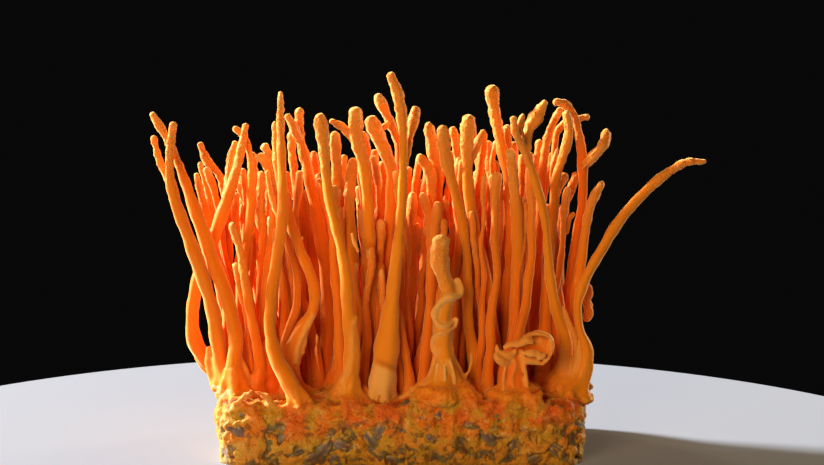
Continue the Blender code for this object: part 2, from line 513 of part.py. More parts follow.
class Stem:
    """One stem or branch: rings from foot to tip, each with its place in view, radius and depth."""

    def __init__(self, name, foot_depth, tip_depth, run):
        self.name = name
        self.is_branch = name.endswith(("_branch", "_paddle"))
        rings = smooth_run(run)
        self.view = rings[:, :2]
        self.radius = rings[:, 2] / 2
        self.depth = np.linspace(foot_depth, tip_depth, len(rings))
        self.foot = None

    def plan_foot(self):
        """The foot's x and y, in mm, from its place across and its depth."""
        forward, upward = view_axes()
        eye = VIEW_AIM - forward * VIEW_DISTANCE
        distance = (np.array([0.0, self.depth[0], BLOCK_TOP]) - eye).dot(forward)
        x = VIEW_AIM[0] + (self.view[0, 0] - VIEW_AIM[0]) * distance / VIEW_DISTANCE
        return np.array([x, self.depth[0]])

    def stand_on(self, surface, spot):
        """Sets the foot's ring on the block's top at this x and y."""
        z = block_top_under(surface, spot[0], spot[1], self.radius[0]) + FOOT_GAP
        self.foot = np.array([spot[0], spot[1], z])
        # The lowest part of the run goes along with the foot, less and less with height
        shift = np.array(seen_at(self.foot)) - self.view[0]
        height = self.view[:, 1] - self.view[0, 1]
        share = np.clip(1 - height / FOOT_BLEND, 0, 1)
        self.view += share[:, None] * shift
        self.depth += share * (spot[1] - self.depth[0])
        # The rings above the foot keep clear of the block's top
        lowest = self.view[0, 1] + self.radius + FOOT_STUB
        self.view[1:, 1] = np.maximum(self.view[1:, 1], lowest[1:])


def spread_feet(stems):
    """The feet's places on the block's top, x and y in mm, moved apart where they crowd."""
    spots = np.array([stem.plan_foot() for stem in stems])
    radii = np.array([stem.radius[0] for stem in stems])
    half = np.array([BLOCK_LENGTH / 2, BLOCK_DEPTH / 2])
    limits = half[None] - radii[:, None] - FOOT_INSET
    room = radii[:, None] + radii[None] + STEM_GAP
    for _ in range(FOOT_ROUNDS):
        gaps = spots[None] - spots[:, None]
        distances = np.linalg.norm(gaps, axis=2)
        np.fill_diagonal(distances, 1e9)
        lack = np.maximum(room - distances, 0)
        push = -(gaps / np.maximum(distances, 0.01)[:, :, None]) * lack[:, :, None] * FOOT_PUSH
        spots = np.clip(spots + push.sum(axis=1), -limits, limits)
        # The block's plan corners are round
        over = np.abs(spots) - (half - BLOCK_CORNER)
        outside = np.linalg.norm(np.maximum(over, 0), axis=1) + radii + FOOT_INSET - BLOCK_CORNER
        cornered = (over > 0).all(axis=1) & (outside > 0)
        inward = spots / np.linalg.norm(spots, axis=1)[:, None]
        spots[cornered] -= inward[cornered] * outside[cornered][:, None]
    return spots


def crossing_sides(one, other, owner, difference, at_foot):
    """Which of two stems is nearer wherever they cross in the front view: 1 or -1 for each pair.

    One crossing is a run of neighbouring samples of the same two stems. Their mean depths
    settle the order there, or their feet's depths where the crossing reaches both feet.
    """
    side = np.ones(len(one))
    stems_crossed = owner[one] * len(owner) + owner[other]
    order = np.lexsort((other, one, stems_crossed))
    starts_anew = np.diff(stems_crossed[order], prepend=-1) != 0
    starts_anew |= np.abs(np.diff(one[order], prepend=-99)) > CROSSING_BREAK
    region = np.cumsum(starts_anew) - 1
    for number in range(region[-1] + 1):
        members = order[region == number]
        footed = members[at_foot[one[members]] & at_foot[other[members]]]
        told_by = footed if len(footed) else members
        side[members] = 1.0 if difference[told_by].mean() >= 0 else -1.0
    return side


def settle(stems):
    """Slides the stems' rings along the sight lines until every two stems have room.

    The front view stays as it is. Where two stems cross in it, the nearer one moves forward
    and the farther one back, and no stem slants in depth by more than STEEPEST.
    """
    first_ring = np.cumsum([0] + [len(stem.depth) for stem in stems])
    depth = np.concatenate([stem.depth for stem in stems])
    lower, share, places, radii, owner = [], [], [], [], []
    for index, stem in enumerate(stems):
        last = len(stem.depth) - 2
        for k in range(last + 1):
            shares = SAMPLE_SHARES + ((1.0,) if k == last else ())
            for t in shares:
                lower.append(first_ring[index] + k)
                share.append(t)
                places.append(stem.view[k] * (1 - t) + stem.view[k + 1] * t)
                radii.append(stem.radius[k] * (1 - t) + stem.radius[k + 1] * t)
                owner.append(index)
    lower, share, owner = np.array(lower), np.array(share), np.array(owner)
    places, radii = np.array(places), np.array(radii)
    upper = lower + 1
    apart = np.linalg.norm(places[:, None] - places[None], axis=2)
    room = radii[:, None] + radii[None] + STEM_GAP
    one, other = np.nonzero((apart < room) & (owner[:, None] < owner[None]))
    need = np.sqrt(room[one, other] ** 2 - apart[one, other] ** 2)
    is_foot = np.array([not stem.is_branch for stem in stems])
    fixed = first_ring[:-1][is_foot]
    held = depth[fixed].copy()
    at_foot = np.isin(lower, fixed)
    here = depth[lower] * (1 - share) + depth[upper] * share
    side = crossing_sides(one, other, owner, here[other] - here[one], at_foot)
    rings = np.concatenate([stem.view for stem in stems])
    near = np.setdiff1d(np.arange(len(depth) - 1), first_ring[1:] - 1)
    steepest = STEEPEST * np.linalg.norm(rings[near + 1] - rings[near], axis=1)
    inner = np.intersect1d(near, near + 1)
    for round_number in range(SETTLE_ROUNDS):
        here = depth[lower] * (1 - share) + depth[upper] * share
        push = np.maximum(need - side * (here[other] - here[one]), 0) * side * SETTLE_PUSH
        touching = push != 0
        total = np.bincount(other, push, len(here)) - np.bincount(one, push, len(here))
        number = np.bincount(other, touching, len(here)) + np.bincount(one, touching, len(here))
        move = total / np.maximum(number, 1)
        weight = np.bincount(lower, (1 - share) * (number > 0), len(depth))
        weight += np.bincount(upper, share * (number > 0), len(depth))
        change = np.bincount(lower, (1 - share) * move, len(depth))
        change += np.bincount(upper, share * move, len(depth))
        depth += change / np.maximum(weight, LEAST_WEIGHT)
        evening = EVENING * max(0.0, 1 - round_number / (EVENING_SHARE * SETTLE_ROUNDS))
        between = (depth[inner - 1] + depth[inner + 1]) / 2
        depth[inner] += evening * (between - depth[inner])
        slant = depth[near + 1] - depth[near]
        excess = np.sign(slant) * np.maximum(np.abs(slant) - steepest, 0) * 0.5
        depth[near] += excess
        depth[near + 1] -= excess
        depth = np.clip(depth, NEAREST, DEEPEST)
        depth[fixed] = held
    for index, stem in enumerate(stems):
        stem.depth = depth[first_ring[index]:first_ring[index + 1]]


def stem_points(stem):
    """The stem's rings as points and radii, with a level foot and a rounded tip."""
    points = [place(*stem.view[k], stem.depth[k]) for k in range(len(stem.depth))]
    radii = list(stem.radius)
    if stem.foot is not None:
        points[0] = stem.foot
        points.insert(1, stem.foot + np.array([0.0, 0.0, FOOT_STUB]))
        radii.insert(1, radii[0] * STUB_TAPER)
    else:
        points.insert(1, points[0] + np.array([0.0, 0.0, BRANCH_STUB]))
        radii.insert(1, radii[0])
    # The last ring becomes two, so that the tip is rounded off
    tip_run = points[-1] - points[-2]
    tip_run = tip_run / np.linalg.norm(tip_run)
    points[-1] = points[-1] - tip_run * radii[-1] * TIP_LENGTH
    points.append(points[-1] + tip_run * radii[-1] * TIP_LENGTH)
    radii.append(radii[-1] * TIP_SHARE)
    return np.array(points), np.array(radii)


def make_curve(name, runs, resolution, collection, material):
    """A curve with one filled tube for each run of points and radii."""
    curve = bpy.data.curves.new(name, "CURVE")
    curve.dimensions = "3D"
    curve.bevel_depth = MM
    curve.bevel_resolution = resolution
    curve.use_fill_caps = True
    for points, radii in runs:
        spline = curve.splines.new("POLY")
        spline.points.add(len(points) - 1)
        for spline_point, point, radius in zip(spline.points, points, radii):
            spline_point.co = (*(point * MM), 1.0)
            spline_point.radius = radius
        spline.use_smooth = True
    curve.materials.append(material)
    obj = bpy.data.objects.new(name, curve)
    collection.objects.link(obj)
    return obj


def sample_run(points, radii, step):
    """Points and radii at about this spacing along a run."""
    marks = np.concatenate([[0], np.cumsum(np.linalg.norm(np.diff(points, axis=0), axis=1))])
    wanted = np.linspace(0, marks[-1], max(2, round(marks[-1] / step)))
    spots = np.column_stack([np.interp(wanted, marks, column) for column in points.T])
    return spots, np.interp(wanted, marks, radii)


def has_room(spot, radius, taken):
    """Whether a thin stem's foot fits on the block's top here, among the feet in place."""
    half = np.array([BLOCK_LENGTH / 2, BLOCK_DEPTH / 2])
    over = np.maximum(np.abs(spot) - (half - BLOCK_CORNER), 0)
    if np.linalg.norm(over) > BLOCK_CORNER - radius - BLOCK_INSET - FOOT_INSET:
        return False
    return (np.linalg.norm(taken[:, :2] - spot, axis=1) > taken[:, 2] + radius + FOOT_GAP).all()


def marked_foot(rng, mark, taken):
    """A foot in the back rows for the thin stem with this tip, or None where there is no room."""
    radius = rng.uniform(*THIN_FOOT_RADII)
    spot = np.array([mark[0] / THIN_SPREAD + rng.normal(0, THIN_ASTRAY), rng.uniform(*THIN_BACK_ROWS)])
    return (*spot, radius) if has_room(spot, radius, taken) else None


def row_feet(rng):
    """Places for the other thin stems' feet, in jittered rows."""
    feet = []
    for y, spacing in THIN_ROWS:
        for x in np.arange(-THIN_ROW_END + rng.uniform(0, spacing), THIN_ROW_END, spacing):
            spot = np.array([x, y]) + rng.uniform(-THIN_JITTER, THIN_JITTER, 2)
            feet.append((*spot, rng.uniform(*THIN_FOOT_RADII)))
    rng.shuffle(feet)
    return feet


class ThinStem:
    """One thin stem: its base, its collar, where it starts to lean, and the points up to its tip."""

    def __init__(self, rng, foot, mark):
        x, y, radius = foot
        self.mark = mark
        if mark is None:
            across = np.clip(x * THIN_SPREAD + rng.normal(0, THIN_LEAN), *THIN_ENDS)
            top = np.interp(across, *np.array(THIN_TOPS, float).T) - rng.uniform(0, 1) ** 2 * THIN_DROP
            end = radius * rng.uniform(*THIN_TIP_SHARES)
        else:
            across, top, end = mark[0], mark[1], mark[2] / 2
        tip = place(across, top, y * THIN_SPREAD + rng.normal(0, THIN_DEPTH_SPREAD))
        collar = np.array([x, y, THIN_COLLAR])
        shares = np.array(THIN_SHARES)[:, None]
        self.points = collar * (1 - shares) + tip * shares
        self.points[:, :2] += np.sin(shares * math.pi) * rng.normal(0, THIN_BOW, 2)
        self.points = np.vstack([[x, y, THIN_BASE], self.points])
        waist = min(radius, max(radius * THIN_TAPER, end))
        self.radii = np.array([radius, radius, waist, (waist + end) / 2, end])

    def samples(self):
        """How much each point counts at each sample, and the samples' places and radii."""
        marks = np.linspace(0, len(self.points) - 1, THIN_SAMPLES)
        shares = np.clip(1 - np.abs(marks[:, None] - np.arange(len(self.points))), 0, 1)
        return shares, shares @ self.points, shares @ self.radii

    def make_room(self, others, reach):
        """Moves the stem aside where it comes too near the others; says whether it is clear."""
        near = np.abs(others[:, 0] - self.points[:, 0].mean()) < THIN_NEAR + np.ptp(self.points[:, 0])
        others, reach = others[near], reach[near]
        if self.mark:
            sight = place(*self.mark[:2], 1.0) - place(*self.mark[:2], 0.0)
            sight /= np.linalg.norm(sight)
        first = self.points.copy()
        for _ in range(THIN_ROUNDS):
            shares, spots, radii = self.samples()
            gaps = spots[:, None] - others[None]
            distances = np.linalg.norm(gaps, axis=2)
            lack = np.maximum(radii[:, None] + reach[None] + THIN_GAP - distances, 0)
            if lack.max() == 0:
                return True
            push = (gaps * (lack / np.maximum(distances, 0.01))[:, :, None]).sum(axis=1)
            length = np.linalg.norm(push, axis=1)
            push *= np.minimum(1, THIN_STEP / np.maximum(length, 1e-6))[:, None]
            pushed = (length > 0) @ shares
            move = THIN_PUSH * (shares.T @ push) / np.maximum(pushed, 1.0)[:, None]
            move[:, 2] = 0
            move[:2] = move[:2].mean(axis=0)
            # A tip that shows by itself moves only along the sight line
            if self.mark:
                move[-1] = sight * move[-1].dot(sight)
            self.points += move
            away = self.points[:, :2] - first[:, :2]
            kept = np.minimum(1, THIN_TURNS / np.maximum(np.linalg.norm(away, axis=1), 1e-6))
            self.points[:, :2] = first[:, :2] + away * kept[:, None]
        return False

    def cut_short(self, others, reach):
        """Ends the stem below its lowest crowded place; says whether enough of it is left."""
        shares, spots, radii = self.samples()
        distances = np.linalg.norm(spots[:, None] - others[None], axis=2)
        crowded = (radii[:, None] + reach[None] + THIN_GAP - distances > 0).any(axis=1)
        first = np.argmax(crowded)
        if spots[first, 2] < THIN_SHORTEST:
            return False
        marks = np.linspace(0, len(self.points) - 1, THIN_SAMPLES)[:first]
        wanted = np.array([0.0, 1.0, *(1 + (marks[-1] - 1) * np.array(THIN_SHARES[1:]))])
        old = np.arange(len(self.points))
        self.points = np.column_stack([np.interp(wanted, old, column) for column in self.points.T])
        self.radii = np.interp(wanted, old, self.radii)
        return True

    def keeps_clearings(self):
        """Whether daylight still shows where it does between the stems in the front view."""
        spots = self.samples()[1]
        seen = np.array([seen_at(spot) for spot in spots])
        clearings = np.array(THIN_CLEARINGS)
        away = np.linalg.norm(seen[:, None] - clearings[None, :, :2], axis=2)
        return (away > clearings[:, 2] + self.radii.mean()).all()


def grow_thin_stems(stems):
    """The thin stems that have room among the others, as runs of points and radii."""
    rng = np.random.default_rng(THIN_SEED)
    runs = [sample_run(*stem_points(stem), THIN_STEP * 2) for stem in stems]
    others = np.vstack([run[0] for run in runs])
    reach = np.concatenate([run[1] for run in runs])
    taken = np.array([(*stem.foot[:2], stem.radius[0]) for stem in stems if stem.foot is not None])
    feet = row_feet(rng) + row_feet(rng)
    planned = [(mark, THIN_TRIES) for mark in THIN_TIPS] + [(None, 1)] * len(feet)
    grown = []
    for mark, tries in planned:
        for _ in range(tries):
            if len(grown) == THIN_MOST or not feet:
                break
            foot = marked_foot(rng, mark, taken) if mark else feet.pop()
            if foot is None or not has_room(np.array(foot[:2]), foot[2], taken):
                continue
            thin = ThinStem(rng, foot, mark)
            clear = thin.make_room(others, reach)
            if not clear and (mark or not thin.cut_short(others, reach)):
                continue
            if mark is None and not thin.keeps_clearings():
                continue
            spots, radii = thin.samples()[1:]
            others = np.vstack([others, spots])
            reach = np.concatenate([reach, radii])
            taken = np.vstack([taken, (*thin.points[0, :2], foot[2])])
            root = (*thin.points[0, :2], THIN_ROOT)
            grown.append((np.vstack([root, thin.points[1:]]), thin.radii))
            break
    return grown


def join_thin_stems(block, runs, cutters, material):
    """Makes the thin stems one solid with the block that they grow from."""
    curve = make_curve("thin_stems_curve", runs, 0, cutters, material)
    bpy.context.view_layer.update()
    graph = bpy.context.evaluated_depsgraph_get()
    mesh = bpy.data.meshes.new_from_object(curve.evaluated_get(graph))
    bm = bmesh.new()
    bm.from_mesh(mesh)
    bmesh.ops.remove_doubles(bm, verts=bm.verts, dist=WELD)
    bmesh.ops.recalc_face_normals(bm, faces=bm.faces)
    bm.to_mesh(mesh)
    bm.free()
    joined = bpy.data.objects.new("thin_stems", mesh)
    joined.matrix_world = curve.matrix_world
    cutters.objects.link(joined)
    bpy.data.objects.remove(curve)
    joined.hide_render = True
    joined.display_type = "WIRE"
    union = block.modifiers.new("thin stems grow from it", "BOOLEAN")
    union.operation = "UNION"
    union.object = joined


def main():
    clear_scene()
    collection = make_collection("cordyceps_bunch")
    orange = make_material("stem_orange", STEM_ORANGE, STEM_ROUGHNESS)
    ochre = make_material("stem_ochre", STEM_OCHRE, STEM_ROUGHNESS)
    grain = make_material("grain_substrate", GRAIN_BROWN, GRAIN_ROUGHNESS)
    block, surface = make_block(collection, grain)
    stems = [Stem(*row) for row in STEMS]
    standing = [stem for stem in stems if not stem.is_branch]
    for stem, spot in zip(standing, spread_feet(standing)):
        stem.stand_on(surface, spot)
    settle(stems)
    for stem in stems:
        material = orange if stem.name.startswith(("left", "loop", "hooked")) else ochre
        make_curve(stem.name, [stem_points(stem)], 1, collection, material)
    join_thin_stems(block, grow_thin_stems(stems), make_collection("joined_shapes"), grain)


main()
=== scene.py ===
"""A bunch of cultivated cordyceps on its block of spent grain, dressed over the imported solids.

Lengths are in millimetres, and MM turns them into metres. The origin is the middle of the
block's underside, the block is longest along X, and its front is -Y.
"""

import math

import bmesh
import bpy
import numpy as np
from mathutils import Matrix, Vector, kdtree, noise


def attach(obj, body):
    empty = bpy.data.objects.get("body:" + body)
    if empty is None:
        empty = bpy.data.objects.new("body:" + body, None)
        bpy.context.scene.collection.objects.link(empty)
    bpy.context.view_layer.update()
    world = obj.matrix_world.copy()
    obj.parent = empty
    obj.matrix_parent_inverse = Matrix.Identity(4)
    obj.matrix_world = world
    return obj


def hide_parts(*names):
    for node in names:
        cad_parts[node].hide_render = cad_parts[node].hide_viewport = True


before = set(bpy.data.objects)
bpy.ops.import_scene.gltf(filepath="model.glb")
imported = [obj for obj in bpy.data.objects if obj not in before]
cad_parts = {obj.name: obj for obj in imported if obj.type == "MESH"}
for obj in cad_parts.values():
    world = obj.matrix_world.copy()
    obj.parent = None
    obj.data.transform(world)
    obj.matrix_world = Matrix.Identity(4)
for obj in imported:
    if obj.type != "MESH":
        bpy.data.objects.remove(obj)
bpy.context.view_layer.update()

MM = 0.001
rng = np.random.default_rng(11)

# The photograph's view. Places in it are across, to the right of the block's middle, and
# height, above its front lower edge
VIEW_DISTANCE = 572.2
VIEW_RISE = math.radians(9.0)
VIEW_AIM = np.array([2.75, 0.0, 54.8])
VIEW_AIM_HEIGHT = 58.9
LENS = 100.0
SENSOR = 36.0
FORWARD = np.array([0.0, math.cos(VIEW_RISE), -math.sin(VIEW_RISE)])
UPWARD = np.array([0.0, math.sin(VIEW_RISE), math.cos(VIEW_RISE)])
EYE = VIEW_AIM - FORWARD * VIEW_DISTANCE

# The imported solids: how near split corners lie and how level a ring is, both in metres
WELD = 2e-6
LEVEL = 1e-6
# A ring's sides, the ring that ends a stem's short stub, and how the names of forks end
SOLID_SIDES = 6
STUB_RING = 1
FORK_ENDS = ("_branch", "_paddle")
# The block's solid is only thin stems above this height
COLLAR_LEVEL = 19.0

# Named stems: their mesh, and the rings that round their tips as shares of the tip's radius
SIDES = 24
RING_STEP = 0.55
CAP_STEPS = np.array([0.72, 0.45, 0.22, 0.07])
# How deep they reach into the block, and how far those in front of FRONT_EDGE lean back there
ROOT_DEPTH = 2.4
FRONT_EDGE = -15.0
FRONT_ROOT = 1.8
# Stems in front of this place keep their tone down to their feet; behind it, painted shade makes their lower
# parts redder
FRONT_ROW = -8.0
CLUB_LENGTH = 20.0
# How far below its solid a fork starts, and how wide it is there, in its own radii
FORK_DROP = 1.6
FORK_FLARE = 1.15

# Thin stems: their mesh and how far they wander
CROWD_SIDES = 12
CROWD_STEP = 1.1
CROWD_RUN = 30
CROWD_WANDER = 1.5
# Named stems with thin companions stand behind CROWD_FRONT and within CROWD_HALF of the middle
CROWD_FRONT = -12.0
CROWD_HALF = 38.0

# Folds of flesh and how they are fused with their stem
FOLD_SIDES = 14
FOLD_STEP = 0.35
FOLD_VOXEL = 0.28
FOLD_ROUNDS = 2
LOOK_NEIGHBOURS = 4

# The flesh's relief: the size of lumps and warts, and the rise of its grain and a club's warts
LUMP_SIZE = 2.6
WART_SIZE = 0.85
WART_FLOOR = -0.12
GRAIN_RISE = 0.05
WART_RISE = 0.24
# How far below a club's tip its head and neck lie
HEAD_PLACE, HEAD_LENGTH = 3.6, 2.6
NECK_PLACE, NECK_LENGTH = 10.5, 3.0

# Colours as linear red, green and blue
FLESH_RED = (0.86, 0.135, 0.001)
FLESH_OCHRE = (0.84, 0.27, 0.004)
FLESH_CLUB = (0.84, 0.28, 0.028)
FLESH_PALE = (0.86, 0.50, 0.12)
FLESH_BROWN = (0.50, 0.13, 0.004)
SKIN_ORANGE = (0.76, 0.20, 0.003)
SKIN_RED = (0.74, 0.11, 0.001)
SKIN_OCHRE = (0.58, 0.28, 0.006)
SKIN_YELLOW = (0.58, 0.31, 0.020)
# Cream for the pale threads and for the painted highlight on the skin's ridges
SKIN_CREAM = (0.88, 0.62, 0.18)
# Dark red for the skin's cracks and for the painted shade on the block's top
SKIN_CRACK_AND_SHADE = (0.38, 0.045, 0.001)
GRAIN_OLIVE = (0.19, 0.15, 0.045)
GRAIN_PURPLE = (0.12, 0.058, 0.045)
GRAIN_BROWN = (0.16, 0.058, 0.010)
GRAIN_PALE = (0.25, 0.20, 0.08)
SHEEN_CREAM = (1.0, 0.76, 0.33)
SHEEN_OCHRE = (1.0, 0.66, 0.20)
FLOOR_WHITE = (0.28, 0.30, 0.335)
GROUND_BLACK = (0.0026, 0.0026, 0.0026)


def place(across, height, depth):
    """The point seen at this place in the photograph's view and this far behind the middle."""
    seen = VIEW_AIM + np.array([across - VIEW_AIM[0], 0.0, 0.0]) + UPWARD * (height - VIEW_AIM_HEIGHT)
    ray = seen - EYE
    return EYE + ray * ((depth - EYE[1]) / ray[1])


def seen_at(points):
    """Where these points are seen in the photograph's view, as across and height."""
    ray = np.atleast_2d(points) - EYE
    scale = VIEW_DISTANCE / (ray @ FORWARD)
    return np.column_stack([VIEW_AIM[0] + ray[:, 0] * scale, VIEW_AIM_HEIGHT + (ray @ UPWARD) * scale])


def noise_at(points, size, seed):
    """Smooth noise between about -1 and 1 with features of this size in mm."""
    shift = Vector((seed * 7.31, seed * 3.17, seed * 5.53))
    return np.array([noise.noise(Vector(p) / size + shift) for p in points])


def ease(low, high, value):
    """Rises smoothly from 0 at low to 1 at high, or falls where low is the greater."""
    t = np.clip((value - low) / (high - low), 0.0, 1.0)
    return t * t * (3 - 2 * t)


def smooth_through(marks, values, wanted):
    """A smooth curve through the values at these marks, read at the wanted marks."""
    slopes = np.gradient(values, marks, axis=0)
    k = np.clip(np.searchsorted(marks, wanted, side="right") - 1, 0, len(marks) - 2)
    span = marks[k + 1] - marks[k]
    t = (wanted - marks[k]) / span
    if values.ndim > 1:
        span, t = span[:, None], t[:, None]
    return (
        (2 * t**3 - 3 * t**2 + 1) * values[k] + (t**3 - 2 * t**2 + t) * span * slopes[k]
        + (3 * t**2 - 2 * t**3) * values[k + 1] + (t**3 - t**2) * span * slopes[k + 1]
    )


def straight_through(marks, values, wanted):
    """Straight lines through the values at these marks, read at the wanted marks."""
    return np.column_stack([np.interp(wanted, marks, column) for column in values.T])


def lengths_along(points):
    """How far along the line through these points each of them lies."""
    return np.concatenate([[0], np.cumsum(np.linalg.norm(np.diff(points, axis=0), axis=1))])


def solid_of(node):
    """A node's solid with its split corners made one."""
    bm = bmesh.new()
    bm.from_mesh(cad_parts[node].data)
    bmesh.ops.remove_doubles(bm, verts=bm.verts, dist=WELD)
    bm.verts.index_update()
    return bm


def linked(corners):
    """The corners at the other ends of these corners' edges."""
    return {e.other_vert(v) for v in corners for e in v.link_edges}


def rings_above(ring, passed):
    """Centres and radii of the rings of a round solid, from this one to its tip."""
    seen, centres, radii = set(passed), [], []
    while ring:
        seen.update(ring)
        corners = np.array([v.co for v in ring]) / MM
        centres.append(corners.mean(axis=0))
        radii.append(np.linalg.norm(corners - centres[-1], axis=1).mean())
        ring = sorted(linked(ring) - seen, key=lambda v: v.index)
    return np.array(centres), np.array(radii)


def rings_of(node):
    """Centres and radii of the rings of a stem's solid, from its foot to its tip."""
    bm = solid_of(node)
    rising = sorted(bm.verts, key=lambda v: v.co.z)
    last = SOLID_SIDES - 1
    start = next(k for k in range(len(rising) - last) if rising[k + last].co.z - rising[k].co.z < LEVEL)
    rings = rings_above(rising[start:start + SOLID_SIDES], ())
    bm.free()
    return rings


def split_block():
    """The block's solid closed without its thin stems, and the rings of each of those stems."""
    bm = solid_of("substrate_block")
    above = {v for v in bm.verts if v.co.z > COLLAR_LEVEL * MM}
    low = linked(linked(above) - above) & above
    runs = []
    while low:
        ring, fresh = set(), {min(low, key=lambda v: v.index)}
        while fresh:
            ring |= fresh
            fresh = linked(fresh) & low - ring
        low -= ring
        outline = linked(ring) - above
        centres, radii = rings_above(sorted(ring, key=lambda v: v.index), outline)
        top = np.mean([v.co.z for v in outline]) / MM
        foot = np.array([[*centres[0, :2], top - ROOT_DEPTH], [*centres[0, :2], top]])
        runs.append((np.vstack([foot, centres]), np.concatenate([radii[:1], radii[:1], radii])))
    bmesh.ops.delete(bm, geom=list(above), context="VERTS")
    bmesh.ops.holes_fill(bm, edges=[e for e in bm.edges if e.is_boundary])
    bmesh.ops.triangulate(bm, faces=bm.faces)
    return bm, sorted(runs, key=lambda run: tuple(run[0][0]))


class Form:
    """A round form along a spine: rings with centres and radii, ready to become a mesh."""

    def __init__(self, centres, radii, step=RING_STEP):
        centres, radii = np.asarray(centres, float), np.asarray(radii, float)
        marks = lengths_along(centres)
        length, end = marks[-1], radii[-1]
        body = np.linspace(0, length - end, max(4, round((length - end) / step)))
        self.along = np.concatenate([body, length - end * CAP_STEPS])
        self.length = length
        self.centre = smooth_through(marks, centres, self.along)
        self.radius = smooth_through(marks, radii, self.along)
        self.cap = np.sqrt(np.clip(1 - np.clip(1 - (length - self.along) / end, 0, 1) ** 2, 0, 1))
        self.apex = centres[-1]
        self.frame_axes()

    def frame_axes(self):
        """Two axes square to the spine at each ring, carried along without twist."""
        run = np.gradient(self.centre, axis=0)
        run /= np.linalg.norm(run, axis=1)[:, None]
        side = np.cross(run[0], (0.0, 1.0, 0.0))
        self.side = []
        for heading in run:
            side = side - heading * side.dot(heading)
            side = side / np.linalg.norm(side)
            self.side.append(side)
        self.side = np.array(self.side)
        self.other = np.cross(run, self.side)

    def surface(self, sides, swell, deep=1.0):
        """Vertices and faces, with the radius at each ring and side times swell plus relief.

        Deep is the form's extent along the view as a share of its width across it.
        """
        angles = np.arange(sides) * math.tau / sides
        times, relief = swell(self, angles)
        times = times / np.sqrt(np.cos(angles) ** 2 + (np.sin(angles) / deep) ** 2)
        reach = self.radius[:, None] * self.cap[:, None] * times
        out = np.cos(angles)[None, :, None] * self.side[:, None]
        out = out + np.sin(angles)[None, :, None] * self.other[:, None]
        points = self.centre[:, None] + out * reach[:, :, None]
        push = relief(points.reshape(-1, 3)).reshape(reach.shape)
        push = push * np.minimum(1, self.cap + 0.2)[:, None]
        points = points + out * push[:, :, None]
        points = np.vstack([points.reshape(-1, 3), self.apex, self.centre[0]])
        last = (len(self.along) - 1) * sides
        apex = last + sides
        pairs = [(j, (j + 1) % sides) for j in range(sides)]
        rows = range(0, last, sides)
        faces = [(i + j, i + k, i + sides + k, i + sides + j) for i in rows for j, k in pairs]
        for j, k in pairs:
            faces += [(last + j, last + k, apex), (k, j, apex + 1)]
        return points, faces


def stem_swell(seed, foot_flare, flutes, lump, heads=0.0):
    """How rings depart from circles: oval, wavy, fluted at the foot, with a club's head and warts."""
    def swell(form, angles):
        below_tip = form.length - form.along
        foot = np.exp(-np.maximum(form.along - ROOT_DEPTH, 0) / 3.0)
        turn = form.along * 0.05 + seed
        oval = 0.07 * np.cos(2 * (angles[None] + turn[:, None]))
        wave = 0.06 * np.sin(form.along / 2.9 + seed * 3) + 0.05 * np.sin(form.along / 1.3 + seed)
        clubbed = ease(CLUB_LENGTH, CLUB_LENGTH * 0.5, below_tip)
        knobs = np.sin(form.along / 0.62 + seed * 5 + 2 * np.sin(form.along / 2.1 + seed))
        wave = wave + 0.075 * clubbed * knobs
        fluted = 0.16 * (0.15 + foot)[:, None] * np.cos(flutes * angles[None] + seed)
        times = 1 + oval + wave[:, None] + foot_flare * foot[:, None] + fluted
        head = np.exp(-((below_tip - HEAD_PLACE) / HEAD_LENGTH) ** 2)
        head = head - 0.6 * np.exp(-((below_tip - NECK_PLACE) / NECK_LENGTH) ** 2)
        times = times * (1 - 0.05 * clubbed + heads * (0.6 + 0.4 * math.sin(seed * 7)) * head)[:, None]

        def relief(points):
            warts = np.repeat(clubbed, len(angles))
            wide = noise_at(points, LUMP_SIZE, seed)
            warty = np.maximum(noise_at(points, WART_SIZE, seed + 5), WART_FLOOR)
            return lump * wide + (GRAIN_RISE + WART_RISE * warts) * warty
        return times, relief
    return swell


def stem_look(form, sides, tone, foot_pale, tip_pale, clubbed=1.0):
    """Club, pale, tone and brown shares for each of the form's vertices."""
    below_tip = form.length - form.along
    club = clubbed * ease(CLUB_LENGTH, CLUB_LENGTH * 0.35, below_tip)
    pale = np.maximum(foot_pale * ease(9.0, 5.5, form.along), tip_pale * ease(3.5, 0.5, below_tip))
    # Painted shade: behind the front row the tone falls lower down, which makes the flesh redder
    shaded_tones = tone * (0.55 + 0.45 * ease(20.0, 55.0, form.centre[:, 2]))
    if form.centre[:, 1].mean() < FRONT_ROW:
        shaded_tones = np.full(len(club), tone)
    return round_the_rings([club, pale, shaded_tones, np.zeros(len(club))], sides)


def round_the_rings(shares, sides):
    """Four shares that are given ring by ring, for all vertices of a form."""
    look = np.repeat(np.column_stack(shares), sides, axis=0)
    return np.vstack([look, look[-1], look[0]])


def add_object(name, data):
    """A new object in the scene."""
    thing = bpy.data.objects.new(name, data)
    bpy.context.scene.collection.objects.link(thing)
    return thing


def add_shares(mesh, name, shares):
    """Four shares for each vertex, for the materials to read."""
    mesh.attributes.new(name, "FLOAT_COLOR", "POINT").data.foreach_set("color", shares.ravel())


def add_piece(name, points, faces, material, stands_for, look):
    """A visible mesh piece that rides on the bunch's one body."""
    mesh = bpy.data.meshes.new(name)
    mesh.from_pydata(points * MM, [], faces)
    add_shares(mesh, "look", look)
    mesh.materials.append(material)
    mesh.shade_smooth()
    piece = add_object(name, mesh)
    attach(piece, "root")
    if stands_for:
        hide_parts(*stands_for)
    return piece


